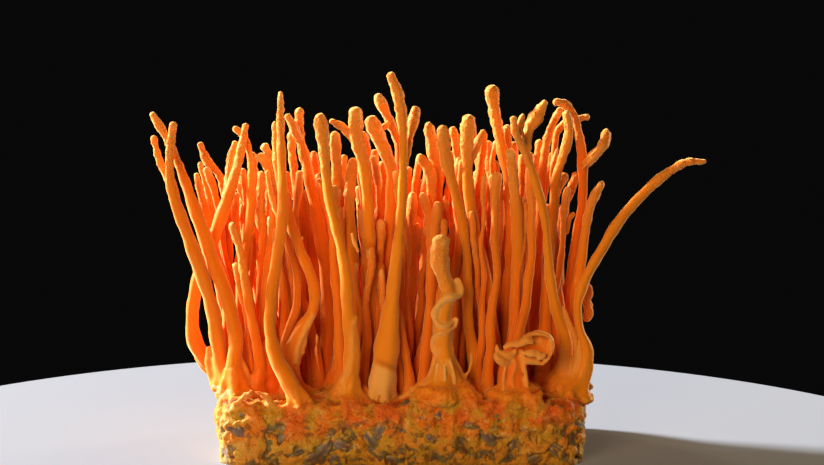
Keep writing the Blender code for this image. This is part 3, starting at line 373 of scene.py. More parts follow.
class Heap:
    """Several forms' vertices, faces and looks in one."""

    def __init__(self):
        self.points, self.faces, self.looks, self.count = [], [], [], 0

    def add(self, points, faces, look):
        """Gathers one more form."""
        self.points.append(points)
        self.faces += [tuple(v + self.count for v in face) for face in faces]
        self.looks.append(look)
        self.count += len(points)

    def piece(self, name, material, slot, stands_for=()):
        """The gathered forms as one visible piece."""
        points, looks = np.vstack(self.points), np.vstack(self.looks)
        return add_piece(name, points, self.faces, material, stands_for, looks)

    def fused(self, voxel, rounds, reach=100.0):
        """The gathered forms as one soft skin: vertices, normals, faces and looks.

        A vertex takes its look from the gathered ones within reach of it.
        """
        gathered = np.vstack(self.points)
        mesh = bpy.data.meshes.new("gathered")
        mesh.from_pydata(gathered * MM, [], self.faces)
        points, normals, faces = one_skin(mesh, voxel, rounds)
        tree = kdtree.KDTree(len(gathered))
        for k, spot in enumerate(gathered):
            tree.insert(spot, k)
        tree.balance()
        looks = np.vstack(self.looks)
        found = [tree.find_n(point, LOOK_NEIGHBOURS) for point in points]
        near = np.array([[k for spot, k, away in row] for row in found])
        close = np.array([[away < reach for spot, k, away in row] for row in found])
        return points, normals, faces, (looks[near] * close[:, :, None]).mean(axis=1)


def one_skin(mesh, voxel, rounds):
    """A mesh's overlapping closed shapes as one soft skin: vertices, normals and faces."""
    helper = add_object("one_skin", mesh)
    remesh = helper.modifiers.new("one skin", "REMESH")
    remesh.mode = "VOXEL"
    remesh.voxel_size = voxel * MM
    helper.modifiers.new("soft edges", "SMOOTH").iterations = rounds
    bpy.context.view_layer.update()
    graph = bpy.context.evaluated_depsgraph_get()
    skin = bpy.data.meshes.new_from_object(helper.evaluated_get(graph))
    bpy.data.objects.remove(helper)
    points = np.array([v.co for v in skin.vertices]) / MM
    normals = np.array([v.normal for v in skin.vertices])
    faces = [tuple(p.vertices) for p in skin.polygons]
    bpy.data.meshes.remove(skin)
    return points, normals, faces


# Nodes and materials

# The shares that flesh reads, and how far light sinks into it
FLESH_SHARES = ("Club", "Pale", "Tone", "Brown")
SUNK_SHARE = 0.35
SUNK_DEPTHS = (1.0, 0.32, 0.06)
SUNK_SCALE = 1.1
SHEEN_ROUGHNESS = 0.45
# Patterns of noise: size in mm, detail, seed, and the levels between which they fade in
FLESH_BLOTCHES = (9.0, 2.0, 1.0, 0.42, 0.62)
FLESH_WARTS = (0.8, 1.0, 2.0, 0.45, 0.70)
OCHRE_PATCHES = (5.0, 4.0, 4.0, 0.46, 0.56)
RED_PATCHES = (7.0, 3.0, 5.0, 0.51, 0.60)
PALE_THREADS = (1.7, 3.0, 7.0, 0.56, 0.66)
BROWN_STAINS = (2.4, 4.0, 6.0, 0.54, 0.62)
BED_PATCHES = (2.2, 4.0, 9.7, 0.42, 0.60)
BED_SPECKS = (2.0, 4.0, 9.2, 0.50, 0.60)
GRAIN_HUSKS = (0.9, 4.0, 9.5, 0.40, 0.62)
GRAIN_SPECKS = (1.6, 5.0, 9.0, 0.50, 0.60)


def feed(node, given):
    """Gives a node's inputs numbers, colours or other nodes' sockets."""
    for label, value in given.items():
        if isinstance(value, bpy.types.NodeSocket):
            node.id_data.links.new(value, node.inputs[label])
        else:
            node.inputs[label].default_value = value
    return node


def noise_node(where, size, detail, seed):
    """Noise with features of this size in mm."""
    node = where.id_data.nodes.new("ShaderNodeTexNoise")
    node.noise_dimensions = "4D"
    feed(node, {"Vector": where, "W": seed, "Scale": 1.0 / (size * MM), "Detail": detail})
    return node.outputs["Fac"]


def map_node(value, low, high, to_low=0.0, to_high=1.0):
    """A value eased from one range to another."""
    node = value.id_data.nodes.new("ShaderNodeMapRange")
    node.interpolation_type = "SMOOTHSTEP"
    feed(node, {"Value": value, "From Min": low, "From Max": high, "To Min": to_low, "To Max": to_high})
    return node.outputs["Result"]


def pattern(where, size, detail, seed, low, high):
    """A mask of noise that fades in between two levels."""
    return map_node(noise_node(where, size, detail, seed), low, high)


def mix_node(share, one, other):
    """A mix of two colours, which are sockets or plain colours."""
    node = share.id_data.nodes.new("ShaderNodeMix")
    node.data_type = "RGBA"
    one, other = ((*color, 1.0) if isinstance(color, tuple) else color for color in (one, other))
    feed(node, {"Factor": share, 6: one, 7: other})
    return node.outputs[2]


def math_node(tree, operation, one, other):
    """One operation on two values, which are sockets or plain numbers."""
    node = tree.nodes.new("ShaderNodeMath")
    node.operation = operation
    feed(node, {0: one, 1: other})
    return node.outputs["Value"]


def product(value, *others):
    """A product; the others are sockets or plain numbers."""
    for other in others:
        value = math_node(value.id_data, "MULTIPLY", value, other)
    return value


def laid_over(color, layers):
    """A colour with layers over it; each has a share, its strength and a colour."""
    for share, strength, over in layers:
        color = mix_node(product(share, strength), color, over)
    return color


def make_flesh_group():
    """Colour, roughness and relief of the flesh from its club, pale, tone and brown shares."""
    group = bpy.data.node_groups.new("cordyceps_flesh", "ShaderNodeTree")
    for label in FLESH_SHARES:
        group.interface.new_socket(label, in_out="INPUT", socket_type="NodeSocketFloat")
    for label, kind in (("Color", "Color"), ("Roughness", "Float"), ("Height", "Float")):
        group.interface.new_socket(label, in_out="OUTPUT", socket_type="NodeSocket" + kind)
    given = group.nodes.new("NodeGroupInput").outputs
    club, pale, tone, brown = (given[label] for label in FLESH_SHARES)
    where = group.nodes.new("ShaderNodeTexCoord").outputs["Object"]
    warty = product(pattern(where, *FLESH_WARTS), club)
    color = laid_over(mix_node(tone, FLESH_RED, FLESH_OCHRE), (
        (pattern(where, *FLESH_BLOTCHES), 0.2, FLESH_OCHRE),
        (club, 0.75, FLESH_CLUB),
        # Paler where the warts rise: partly a painted highlight
        (warty, 0.12, FLESH_PALE),
        (pale, 1.0, FLESH_PALE),
        (brown, 1.0, FLESH_BROWN),
    ))
    fine = noise_node(where, 0.4, 2.0, 3.0)
    height = math_node(group, "ADD", product(fine, 0.3), warty)
    roughness = map_node(fine, 0.3, 0.7, 0.42, 0.6)
    result = group.nodes.new("NodeGroupOutput")
    feed(result, {"Color": color, "Roughness": roughness, "Height": height})
    return group


def new_material(name):
    """A material and its shader."""
    material = bpy.data.materials.new(name)
    material.use_nodes = True
    return material, material.node_tree.nodes["Principled BSDF"]


def read_shares(shader, name):
    """The four shares of this name that a piece's vertices carry."""
    tree = shader.id_data
    attribute = tree.nodes.new("ShaderNodeAttribute")
    attribute.attribute_name = name
    split = feed(tree.nodes.new("ShaderNodeSeparateColor"), {"Color": attribute.outputs["Color"]})
    return *split.outputs, attribute.outputs["Alpha"]


def add_flesh(shader, group, labels, name):
    """The flesh group's outputs, fed with the shares of this name."""
    flesh = shader.id_data.nodes.new("ShaderNodeGroup")
    flesh.node_tree = group
    return feed(flesh, dict(zip(labels, read_shares(shader, name)))).outputs


def make_surface(shader, color, roughness, height, distance, strength):
    """Gives a shader its colour, roughness and fine relief, with its distance in mm."""
    bump = shader.id_data.nodes.new("ShaderNodeBump")
    feed(bump, {"Height": height, "Distance": distance * MM, "Strength": strength})
    feed(shader, {"Base Color": color, "Roughness": roughness, "Normal": bump.outputs["Normal"]})


def make_fleshy(shader, sheen, tint, specular):
    """Lets light sink in and gives the surface its velvety sheen."""
    feed(shader, {
        "Subsurface Weight": SUNK_SHARE, "Subsurface Radius": SUNK_DEPTHS,
        "Subsurface Scale": SUNK_SCALE * MM, "Sheen Weight": sheen, "Sheen Tint": (*tint, 1.0),
        "Sheen Roughness": SHEEN_ROUGHNESS, "Specular IOR Level": specular,
    })


def make_flesh(group):
    """Velvety, slightly see-through mushroom flesh."""
    material, shader = new_material("cordyceps_flesh")
    flesh = add_flesh(shader, group, FLESH_SHARES, "look")
    make_fleshy(shader, 1.0, SHEEN_CREAM, 0.12)
    make_surface(shader, flesh["Color"], flesh["Roughness"], flesh["Height"], 0.18, 0.8)
    return material


def make_skin(group):
    """The block's skin: an orange, red and ochre web over dark grain, and flesh at the feet, with painted
    shade on the top between the feet and a painted highlight on its ridges.
    """
    material, shader = new_material("block_skin")
    tree = shader.id_data
    where = tree.nodes.new("ShaderNodeTexCoord").outputs["Object"]
    height = feed(tree.nodes.new("ShaderNodeSeparateXYZ"), {"Vector": where}).outputs["Z"]
    web, rim, painted_hollow_shade, foot = read_shares(shader, "look")
    lower = map_node(height, 9.0 * MM, 15.0 * MM, 1.0, 0.3)
    crack = math_node(tree, "SUBTRACT", noise_node(where, 3.2, 5.0, 8.5), 0.5)
    crack = math_node(tree, "ABSOLUTE", crack, 0.0)
    color = mix_node(pattern(where, *OCHRE_PATCHES), SKIN_ORANGE, SKIN_OCHRE)
    color = laid_over(color, (
        (pattern(where, *RED_PATCHES), 0.8, SKIN_RED),
        (product(pattern(where, *PALE_THREADS), lower), 0.5, SKIN_CREAM),
        # A painted highlight in cream on the ridges
        (rim, 0.2, SKIN_CREAM),
        (map_node(height, 4.0 * MM, 11.0 * MM, 1.0, 0.0), 0.65, SKIN_YELLOW),
        (product(pattern(where, *BROWN_STAINS), lower), 0.7, GRAIN_BROWN),
        (map_node(crack, 0.0, 0.016, 1.0, 0.0), 0.75, SKIN_CRACK_AND_SHADE),
    ))
    bed = mix_node(pattern(where, *BED_PATCHES), GRAIN_BROWN, GRAIN_OLIVE)
    bed = laid_over(bed, ((pattern(where, *BED_SPECKS), 0.75, SKIN_OCHRE),))
    color = mix_node(map_node(web, 0.2, 0.6), bed, color)
    flesh = add_flesh(shader, group, ("Tone", "Pale"), "foot")
    # Painted shade in dark red on the block's top between the feet
    color = laid_over(color, ((painted_hollow_shade, 0.85, SKIN_CRACK_AND_SHADE), (foot, 1.0, flesh["Color"])))
    fine = noise_node(where, 0.8, 5.0, 8.0)
    rough = product(fine, math_node(tree, "SUBTRACT", 1.0, foot))
    make_fleshy(shader, 0.7, SHEEN_OCHRE, 0.2)
    make_surface(shader, color, map_node(fine, 0.3, 0.7, 0.3, 0.65), rough, 0.7, 0.9)
    return material


def make_grain():
    """Moist kernels, olive to purple-brown, each with its own tone."""
    material, shader = new_material("grain_kernel")
    where = shader.id_data.nodes.new("ShaderNodeTexCoord").outputs["Object"]
    tone, crease = read_shares(shader, "look")[:2]
    color = laid_over(mix_node(tone, GRAIN_PURPLE, GRAIN_OLIVE), (
        (pattern(where, *GRAIN_HUSKS), 0.5, GRAIN_PALE),
        (pattern(where, *GRAIN_SPECKS), 0.8, SKIN_OCHRE),
        (crease, 1.0, GRAIN_PURPLE),
    ))
    fine = noise_node(where, 0.5, 3.0, 10.0)
    make_surface(shader, color, map_node(fine, 0.3, 0.7, 0.28, 0.6), fine, 0.2, 0.5)
    return material


# The stems that have solids


def tone_and_shade_of(x, y):
    """Red-orange at the left end, ochre at its front from the middle on, and redder inside the bunch as
    painted shade.
    """
    return float(0.5 + 0.45 * ease(-38.0, -8.0, x) * ease(6.0, -10.0, y) - 0.35 * ease(-4.0, 10.0, y))


class Spine:
    """A stem's spine: its solid's rings, rooted in the block or in the stem that it forks from."""

    def __init__(self, node):
        self.node = node
        centres, radii = rings_of(node)
        keep = [k for k in range(len(centres)) if k != STUB_RING]
        self.centres, self.radii = centres[keep], radii[keep]
        self.radii[-1] = self.radii[-2]
        self.is_branch = node.endswith(FORK_ENDS)

    def root(self, spines):
        """Takes the spine down into the block, or to the middle of the stem it forks from."""
        if not self.is_branch:
            inwards = FRONT_ROOT if self.centres[0][1] < FRONT_EDGE else 0.0
            base = self.centres[0] - np.array([0.0, -inwards, ROOT_DEPTH])
            self.centres = np.vstack([base, self.centres])
            self.radii = np.concatenate([[self.radii[0]], self.radii])
            return
        parent = spines[self.node.rsplit("_", 1)[0]]
        marks = np.linspace(0, len(parent.centres) - 1, 400)
        fine = smooth_through(np.arange(len(parent.centres)), parent.centres, marks)
        below = fine - self.centres[0] + np.array([0.0, 0.0, FORK_DROP * self.radii[0]])
        nearest = fine[np.argmin(np.linalg.norm(below, axis=1))]
        self.centres = np.vstack([nearest, self.centres[1:]])
        self.radii[0] *= FORK_FLARE


# Small forms: across, height and radius at each point, then depth behind the host stem's front
# or the bunch's middle, extent along the view as a share of the width, and pale and tone shares.
# On the folds the pale share is partly the flesh's paler colour and partly a painted highlight on their
# ridges
COIL_FOLDS = (
    (((14.6, 42.8, 0.5), (13.0, 42.9, 0.8), (11.0, 42.2, 0.7), (9.4, 40.8, 0.8), (8.5, 39.0, 0.9),
      (8.6, 37.0, 0.7), (9.8, 35.7, 0.5), (11.4, 35.7, 0.5), (13.0, 36.8, 0.5), (14.0, 37.8, 0.4)),
     -0.6, 1.0, 0.6, 0.85),
    (((14.0, 37.4, 0.4), (13.6, 35.6, 0.5), (12.0, 34.4, 0.5), (10.0, 33.9, 0.5), (8.6, 33.2, 0.6),
      (7.9, 31.4, 0.6), (7.9, 29.8, 0.5), (8.6, 28.4, 0.4)),
     -0.6, 1.0, 0.45, 0.85),
    (((13.8, 47.6, 0.6), (14.3, 45.6, 1.2), (14.0, 43.6, 1.2), (13.0, 42.4, 0.6)), 0.4, 0.5, 0.55, 0.9),
    (((12.6, 34.6, 0.7), (12.4, 31.6, 0.7), (12.8, 28.4, 0.7), (14.2, 25.6, 0.6), (15.6, 22.6, 0.6),
      (16.4, 19.2, 0.6), (17.4, 16.8, 0.5)), 1.2, 1.0, 0.25, 0.85),
    (((17.5, 29.3, 0.3), (17.6, 27.0, 0.4), (17.1, 24.6, 0.4), (15.4, 22.2, 0.5)), 1.2, 0.8, 0.25, 0.8),
    (((9.4, 30.0, 0.7), (8.6, 26.6, 0.8), (7.4, 23.0, 0.9), (5.2, 20.8, 0.9), (2.6, 19.0, 0.8),
      (-0.4, 17.0, 0.6)), 0.6, 0.8, 0.35, 0.9),
    (((8.4, 16.6, 6.6), (9.4, 18.8, 5.0), (10.2, 21.6, 3.6), (10.5, 24.6, 2.6), (10.6, 28.0, 1.9)),
     2.2, 0.5, 0.25, 0.85),
    (((9.3, 26.4, 0.4), (8.9, 23.6, 0.6), (8.8, 20.6, 0.7), (9.6, 17.6, 0.6)), -0.3, 1.0, 0.5, 0.9),
    (((11.0, 25.6, 0.3), (11.0, 22.6, 0.5), (10.9, 19.6, 0.5)), -0.5, 1.0, 0.8, 0.9),
    (((12.2, 27.0, 0.4), (13.2, 23.6, 0.6), (13.3, 20.6, 0.7), (12.2, 17.6, 0.6)), -0.3, 1.0, 0.5, 0.9),
)
CURL_FOLDS = (
    (((28.6, 17.0, 3.4), (28.6, 20.4, 2.9), (28.4, 24.4, 2.4), (29.0, 28.2, 2.0), (30.0, 30.4, 1.5)),
     -16.8, 0.45, 0.0, 0.12),
    (((26.0, 18.0, 0.7), (25.7, 21.4, 0.5), (26.0, 24.6, 0.5), (27.2, 27.2, 0.6), (28.8, 29.0, 0.6)),
     -18.0, 1.0, 0.3, 0.75),
    (((31.9, 17.6, 0.5), (31.4, 21.6, 0.5), (30.8, 26.0, 0.5), (30.2, 29.6, 0.6)), -17.8, 1.0, 0.35, 0.8),
    (((28.4, 19.6, 0.4), (27.8, 22.6, 0.5), (28.6, 25.6, 0.4), (28.4, 27.4, 0.3)), -18.2, 1.0, 0.1, 0.5),
    (((25.6, 30.0, 0.5), (27.6, 31.0, 0.7), (29.8, 31.2, 0.8), (31.6, 32.0, 0.9), (33.2, 31.4, 0.6)),
     -18.6, 1.4, 0.3, 0.8),
    (((24.0, 31.0, 0.4), (24.2, 29.4, 0.6), (25.6, 28.6, 0.8), (27.4, 28.4, 0.8), (29.0, 29.6, 0.7)),
     -18.6, 1.0, 0.25, 0.75),
    (((30.6, 32.2, 0.5), (31.8, 33.2, 0.5), (33.6, 33.8, 0.5), (35.6, 33.7, 0.5), (37.2, 32.8, 0.5),
      (37.8, 31.0, 0.5), (37.5, 28.8, 0.5), (36.4, 27.0, 0.5), (35.0, 25.7, 0.4)),
     -17.6, 3.2, 0.3, 0.75),
    (((31.0, 30.6, 1.4), (33.0, 30.4, 2.8), (35.0, 30.0, 3.1), (36.8, 29.6, 1.6)), -16.4, 0.2, 0.0, 0.6),
    (((30.8, 28.8, 0.6), (32.2, 28.7, 0.8), (33.8, 28.6, 0.8), (35.2, 27.8, 0.7), (36.2, 28.8, 0.4)),
     -18.6, 1.6, 0.45, 0.8),
    (((30.8, 27.2, 0.6), (32.2, 26.8, 0.8), (33.8, 26.6, 0.8), (35.0, 26.0, 0.5)), -17.8, 1.4, 0.35, 0.7),
)
BOW_FOLDS = (
    (((-21.9, 38.4, 0.4), (-23.4, 35.4, 0.6), (-24.8, 32.6, 0.6), (-25.7, 29.6, 0.6), (-26.3, 26.0, 0.7)),
     -10.4, 1.0, 0.45, 0.6),
    (((-22.8, 35.6, 0.6), (-24.4, 32.6, 1.6), (-26.2, 29.4, 2.3), (-27.4, 25.4, 2.4), (-26.6, 21.6, 2.0)),
     -9.6, 0.25, 0.4, 0.3),
    (((-21.0, 33.6, 0.25), (-21.2, 30.0, 0.3), (-20.9, 26.8, 0.3), (-20.2, 24.0, 0.3)), -8.6, 1.0, 0.4, 0.2),
)
BROAD_FOLDS = (
    (((-11.9, 36.2, 0.4), (-11.5, 37.4, 0.7), (-11.3, 38.4, 0.4)), 0.2, 1.0, 0.3, 0.8),
    (((-12.2, 36.4, 0.3), (-12.1, 33.4, 0.4), (-12.2, 30.0, 0.4), (-12.8, 26.0, 0.5), (-14.2, 22.4, 0.7),
      (-15.6, 20.0, 0.8)), 0.3, 1.0, 0.3, 0.85),
)
# Whether a stem's folds lie on its own surface, and the folds
FOLDED = {
    "bowed_stem": (False, BOW_FOLDS), "broad_stem": (True, BROAD_FOLDS),
    "coiled_stem": (True, COIL_FOLDS), "curled_stem": (False, CURL_FOLDS),
}
# Webs between the feet, which are fused with the block's skin: they have a flesh share too
FOOT_WEBS = (
    (((-48.0, 30.6, 1.2), (-47.2, 27.4, 2.2), (-46.2, 24.2, 2.8), (-44.8, 20.6, 2.8), (-43.6, 17.0, 2.6)),
     -4.4, 0.5, 0.1, 0.45, 0.9),
    (((-43.9, 37.0, 0.5), (-43.6, 32.0, 1.4), (-42.8, 27.0, 2.2), (-42.0, 21.6, 2.8), (-41.6, 17.0, 3.0)),
     -4.4, 0.5, 0.0, 0.4, 0.9),
    (((-41.9, 34.0, 0.4), (-41.3, 31.0, 0.7), (-40.6, 28.4, 0.8), (-38.8, 25.0, 0.8), (-38.4, 20.6, 0.9)),
     -8.6, 1.0, 0.5, 0.5, 0.9),
    (((-40.2, 33.0, 0.6), (-39.0, 28.0, 2.0), (-38.0, 23.4, 3.0), (-37.0, 18.0, 3.4)),
     -5.4, 0.4, 0.0, 0.25, 0.9),
    (((-33.6, 33.0, 0.5), (-33.6, 29.0, 1.4), (-33.2, 24.0, 2.4), (-32.4, 18.0, 2.8)),
     -5.6, 0.4, 0.0, 0.1, 0.9),
    (((40.2, 31.0, 0.8), (40.6, 27.0, 1.6), (41.0, 23.6, 2.2), (41.4, 18.4, 2.6)),
     -8.6, 0.7, 0.15, 0.75, 0.9),
    (((44.9, 32.6, 0.7), (44.4, 28.0, 1.3), (44.0, 23.6, 2.0), (43.4, 18.0, 2.4)),
     -9.6, 0.8, 0.35, 0.8, 0.9),
    (((-16.0, 19.4, 1.6), (-12.0, 19.0, 1.3), (-8.0, 19.4, 1.3)), -12.0, 1.0, 0.6, 0.6, 0.3),
    (((14.0, 17.6, 1.0), (19.0, 17.2, 0.9), (24.0, 17.6, 1.0)), -14.0, 1.0, 0.6, 0.6, 0.3),
    (((-42.0, 15.6, 0.6), (-40.4, 17.0, 0.5), (-38.4, 18.3, 0.6), (-36.2, 18.8, 0.5), (-34.2, 18.0, 0.6),
      (-32.6, 17.0, 0.5), (-31.0, 15.4, 0.6)), -19.6, 1.0, 0.55, 0.9, 0.3),
)
SIDE_BITS = (
    (((46.2, 46.4, 0.5), (46.6, 44.0, 1.2), (46.3, 41.8, 1.0), (46.8, 38.8, 1.3), (46.0, 36.6, 0.8)),
     -4.6, 0.3, 0.1, 0.25),
    (((47.2, 44.8, 0.4), (46.4, 42.8, 1.0), (47.0, 40.4, 0.8), (46.6, 37.6, 0.9)), -3.6, 0.4, 0.3, 0.35),
    (((43.4, 63.8, 0.4), (42.2, 62.6, 0.6), (41.4, 60.6, 0.7), (41.3, 58.4, 0.6)), -1.0, 1.0, 0.1, 0.5),
    (((40.6, 40.4, 0.4), (42.0, 36.6, 0.7), (43.3, 33.5, 0.8), (44.0, 29.6, 0.9), (43.8, 25.4, 1.0)),
     -9.6, 0.9, 0.2, 0.7),
    (((-3.0, 86.6, 0.5), (-4.0, 85.6, 0.6), (-4.9, 84.6, 0.6)), -3.0, 1.0, 0.3, 0.6),
    (((-12.2, 58.7, 0.3), (-11.6, 56.4, 0.35), (-10.6, 54.0, 0.3)), -13.0, 1.0, 0.5, 0.7),
    (((-28.8, 53.0, 0.8), (-27.4, 45.0, 0.9), (-26.1, 39.5, 0.9), (-25.0, 36.0, 0.8)), -2.0, 1.0, 0.1, 0.4),
)

# How pale the lowest part of a stem is
FOOT_PALES = {"tallest_stem": 0.0, "broad_stem": 0.2, "coiled_stem": 0.3, "right_stem_06": 0.2}
# The tallest stem's brown band: a place on it, its fall for each mm to the right, its width,
# and the places between which it fades in
BAND_ACROSS, BAND_HEIGHT = -6.0, 26.0
BAND_SLANT = 0.42
BAND_WIDTH = 0.8
BAND_FADE = (-7.0, -4.5)


def form_in_view(run, depth, host):
    """A form through places in the photograph's view, on a host stem's surface if it is given."""
    centres = []
    for across, height, width in run:
        behind = depth
        if host is not None:
            seen = seen_at(host.centre)
            k = np.argmin(np.abs(seen[:, 1] - height))
            inside = max(host.radius[k] ** 2 - (across - seen[k, 0]) ** 2, 0.0)
            behind = host.centre[k, 1] + depth - math.sqrt(inside)
        centres.append(place(across, height, behind))
    return Form(centres, [width for across, height, width in run], FOLD_STEP)


def add_small_forms(heap, table, lump, host=None):
    """Adds a table's small forms to a heap."""
    for number, (run, depth, deep, pale, tone) in enumerate(table):
        form = form_in_view(run, depth, host)
        points, faces = form.surface(FOLD_SIDES, stem_swell(number * 3.1, 0.0, 3, lump), deep)
        heap.add(points, faces, np.tile([0.0, pale, tone, 0.0], (len(points), 1)))


def build_stems(flesh):
    """One detailed piece in place of each stem's solid."""
    spines = {n: Spine(n) for n in sorted(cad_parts) if n != "substrate_block"}
    for spine in spines.values():
        spine.root(spines)
    forms, shapes = {}, {}
    for number, (node, spine) in enumerate(spines.items()):
        flare = 0.0 if spine.is_branch else 0.2
        form = Form(spine.centres, spine.radii)
        swell = stem_swell(number * 1.7, flare, 5 + number % 3, 0.16, 0.14)
        points, faces = form.surface(SIDES, swell)
        tone = tone_and_shade_of(*spine.centres[0, :2]) + rng.uniform(-0.08, 0.08)
        look = stem_look(form, SIDES, tone, FOOT_PALES.get(node, 0.1), rng.uniform(0.0, 0.6))
        if node == "tallest_stem":
            mark_band(points, look)
        forms[node], shapes[node] = form, (points, faces, look)
    for node, shape in shapes.items():
        if node in FOLDED:
            build_folded(node, shapes, forms, flesh)
        elif node != "curled_stem_branch":
            points, faces, look = shape
            add_piece(node + "_flesh", points, faces, flesh, (node,), look)
    return forms


def mark_band(points, look):
    """The tallest stem's pale foot, which ends at a slanting brown band."""
    across, height = seen_at(points).T
    edge = BAND_HEIGHT - BAND_SLANT * (across - BAND_ACROSS)
    look[:, 1] = np.maximum(look[:, 1], 0.65 * ease(0.3, -0.5, height - edge))
    band = np.exp(-((height - edge) / BAND_WIDTH - 1) ** 2)
    look[:, 3] = 0.75 * band * ease(*BAND_FADE, across)


def build_folded(node, shapes, forms, flesh):
    """A stem and the folds of flesh on it, made one skin."""
    hugging, folds = FOLDED[node]
    nodes = [n for n in (node, "curled_stem_branch") if n.startswith(node)]
    heap = Heap()
    for name in nodes:
        heap.add(*shapes[name])
    add_small_forms(heap, folds, 0.2, forms[node] if hugging else None)
    points, normals, faces, looks = heap.fused(FOLD_VOXEL, FOLD_ROUNDS)
    add_piece(node + "_flesh", points, faces, flesh, tuple(nodes), looks)


# The thin stems that are one solid with the block

# Thin stems seen in gaps between the others: across and height at each point from the tip
# down, then depth behind the middle and radius
GAP_STEMS = (
    (((4.7, 78.6), (4.0, 74.0), (3.4, 68.0), (3.0, 58.0), (2.6, 42.0)), 8.0, 1.0),
    (((2.6, 75.4), (2.4, 69.0), (2.6, 58.0), (1.0, 42.0)), 9.5, 1.0),
    (((-48.8, 75.2), (-47.0, 71.0), (-45.8, 66.0), (-44.6, 59.0), (-42.0, 42.0)), 4.6, 0.9),
    (((-5.2, 76.8), (-4.8, 72.0), (-4.4, 66.0), (-4.0, 57.0), (-3.6, 42.0)), 8.0, 0.9),
    (((-41.9, 68.8), (-41.6, 65.0), (-41.2, 59.0), (-41.4, 52.0), (-40.0, 38.0)), 5.2, 0.8),
    (((-45.4, 59.6), (-44.9, 56.0), (-44.3, 51.0), (-42.4, 38.0)), 5.0, 0.7),
    (((30.0, 78.6), (29.6, 75.0), (29.4, 70.0), (29.0, 60.0), (28.6, 45.0)), 7.0, 0.8),
    (((23.4, 82.0), (23.2, 78.0), (23.4, 73.0), (23.6, 64.0), (23.6, 45.0)), 6.0, 0.8),
    (((-23.7, 69.8), (-23.7, 65.0), (-23.8, 59.0), (-24.0, 45.0)), 6.0, 0.8),
)
# How high their feet stand in the block
GAP_ROOT = 15.0
# See-through gaps: left, right, low and high edge
OPEN_GAPS = ((40.2, 43.0, 47.0, 59.0), (-50.4, -47.8, 30.0, 40.5), (-33.6, -33.2, 60.0, 62.0))
# Companions of thin and of named stems: their thickness, least and greatest height as shares
# of the stem's own, of whose radius no more than COMPANION_RADIUS counts
THIN_COMPANION = (1.0, 0.84, 1.0)
NAMED_COMPANION = (0.85, 0.6, 0.85)
COMPANION_RADIUS = 1.5


def beside(centres, radii, slim, lowest, highest):
    """A second thin stem that leans against this one and ends lower."""
    side = rng.choice([-1.0, 1.0]) * radii[0] * 1.6
    ends = len(centres) - 1
    cut = rng.uniform(lowest, highest)
    marks = np.linspace(0, ends * cut, ends + 1)
    shifted = straight_through(np.arange(ends + 1), centres, marks)
    fan = np.linspace(1.0, rng.uniform(0.5, 1.4), ends + 1)
    shifted[:, 0] += side * fan
    shifted[:, 1] += rng.uniform(0.2, 1.4) * fan
    thin = np.interp(marks, np.arange(ends + 1), radii) * rng.uniform(0.8, 1.0) * slim
    return shifted, thin * np.linspace(1.0, rng.uniform(0.6, 1.0), ends + 1)


def keeps_open(centres):
    """Whether this stem stays out of the see-through gaps."""
    fine = np.linspace(0, len(centres) - 1, 60)
    across, height = seen_at(straight_through(np.arange(len(centres)), centres, fine)).T
    return not any(
        ((across > left) & (across < right) & (height > low) & (height < high)).any()
        for left, right, low, high in OPEN_GAPS
    )


def build_crowd(flesh, runs, forms):
    """The thin stems between and behind the others, gathered into one piece."""
    heap = Heap()
    both = [run for pair in runs for run in (pair, beside(*pair, *THIN_COMPANION))]
    for node, form in forms.items():
        inside = form.centre[0, 1] > CROWD_FRONT and abs(form.centre[0, 0]) < CROWD_HALF
        if inside and not node.endswith(FORK_ENDS):
            picked = np.linspace(0, len(form.centre) - 1, 6).astype(int)
            slim = np.minimum(form.radius[picked], COMPANION_RADIUS)
            both.append(beside(form.centre[picked], slim, *NAMED_COMPANION))
    both = both[:1] + [run for run in both[1:] if keeps_open(run[0])]
    for run, depth, radius in GAP_STEMS:
        centres = [place(across, height, depth) for across, height in run[::-1]]
        centres = np.array([[*centres[0][:2], GAP_ROOT], *centres])
        both.append((centres, np.full(len(centres), radius)))
    for number, (centres, radii) in enumerate(both):
        marks = lengths_along(centres)
        fine = np.linspace(0, marks[-1], CROWD_RUN)
        spine = smooth_through(marks, centres, fine)
        thick = np.interp(fine, marks, radii) * 1.05
        below_tip = fine[-1] - fine
        wander = ease(6, 20, fine)[:, None] * CROWD_WANDER
        drift = np.column_stack([noise_at(spine, 11, number), noise_at(spine, 11, number + 90)])
        spine[:, :2] += wander * drift
        club = rng.uniform(0.0, 0.35) * ease(12, 3, below_tip)
        thick = thick * (1 + club - 0.15 * ease(50, 20, below_tip))
        form = Form(spine, thick, CROWD_STEP)
        points, faces = form.surface(CROWD_SIDES, stem_swell(number * 2.3, 0.3, 5, 0.2, 0.16))
        # Thin stems keep less of their tone, which makes them redder: painted shade deep in the bunch
        tone = tone_and_shade_of(*centres[0, :2]) * 0.45 + rng.uniform(-0.12, 0.12)
        heap.add(points, faces, stem_look(form, CROWD_SIDES, tone, 0.1, rng.uniform(0.0, 0.6), 0.6))
    heap.piece("crowd_stems", flesh, "stem_ochre", ("substrate_block",))


def build_side_bits(flesh):
    """Torn flakes, strands and stubs beside the stems."""
    heap = Heap()
    add_small_forms(heap, SIDE_BITS, 0.3)
    heap.piece("side_bits", flesh, "stem_ochre")


# The block

# How the feet are fused with it and how far their look spreads
VOXEL = 0.5
FUSE_ROUNDS = 4
FOOT_REACH = 1.3
# The share of their tone that the feet behind the front row keep, which makes them redder as painted shade
FOOT_SHADE = 0.6

# Skirts: their mesh, how deep they begin, and how high they start and finish turning to flesh
SKIRT_SIDES = 36
SKIRT_STEP = 0.8
FOOT_DEPTH = 1.0
FOOT_START = 0.3
FOOT_TURN = 2.9
# Depth and start of the two feet whose flesh runs down over the block's front
SMOOTH_FEET = ("coiled_stem", "curled_stem")
SMOOTH_FOOT = (3.0, -0.4)
# How far forward skirts reach, and how much further for each mm above SKIRT_EDGE
SKIRT_FRONT = -21.4
SKIRT_EDGE = 15.0
SKIRT_LEAN = 0.6

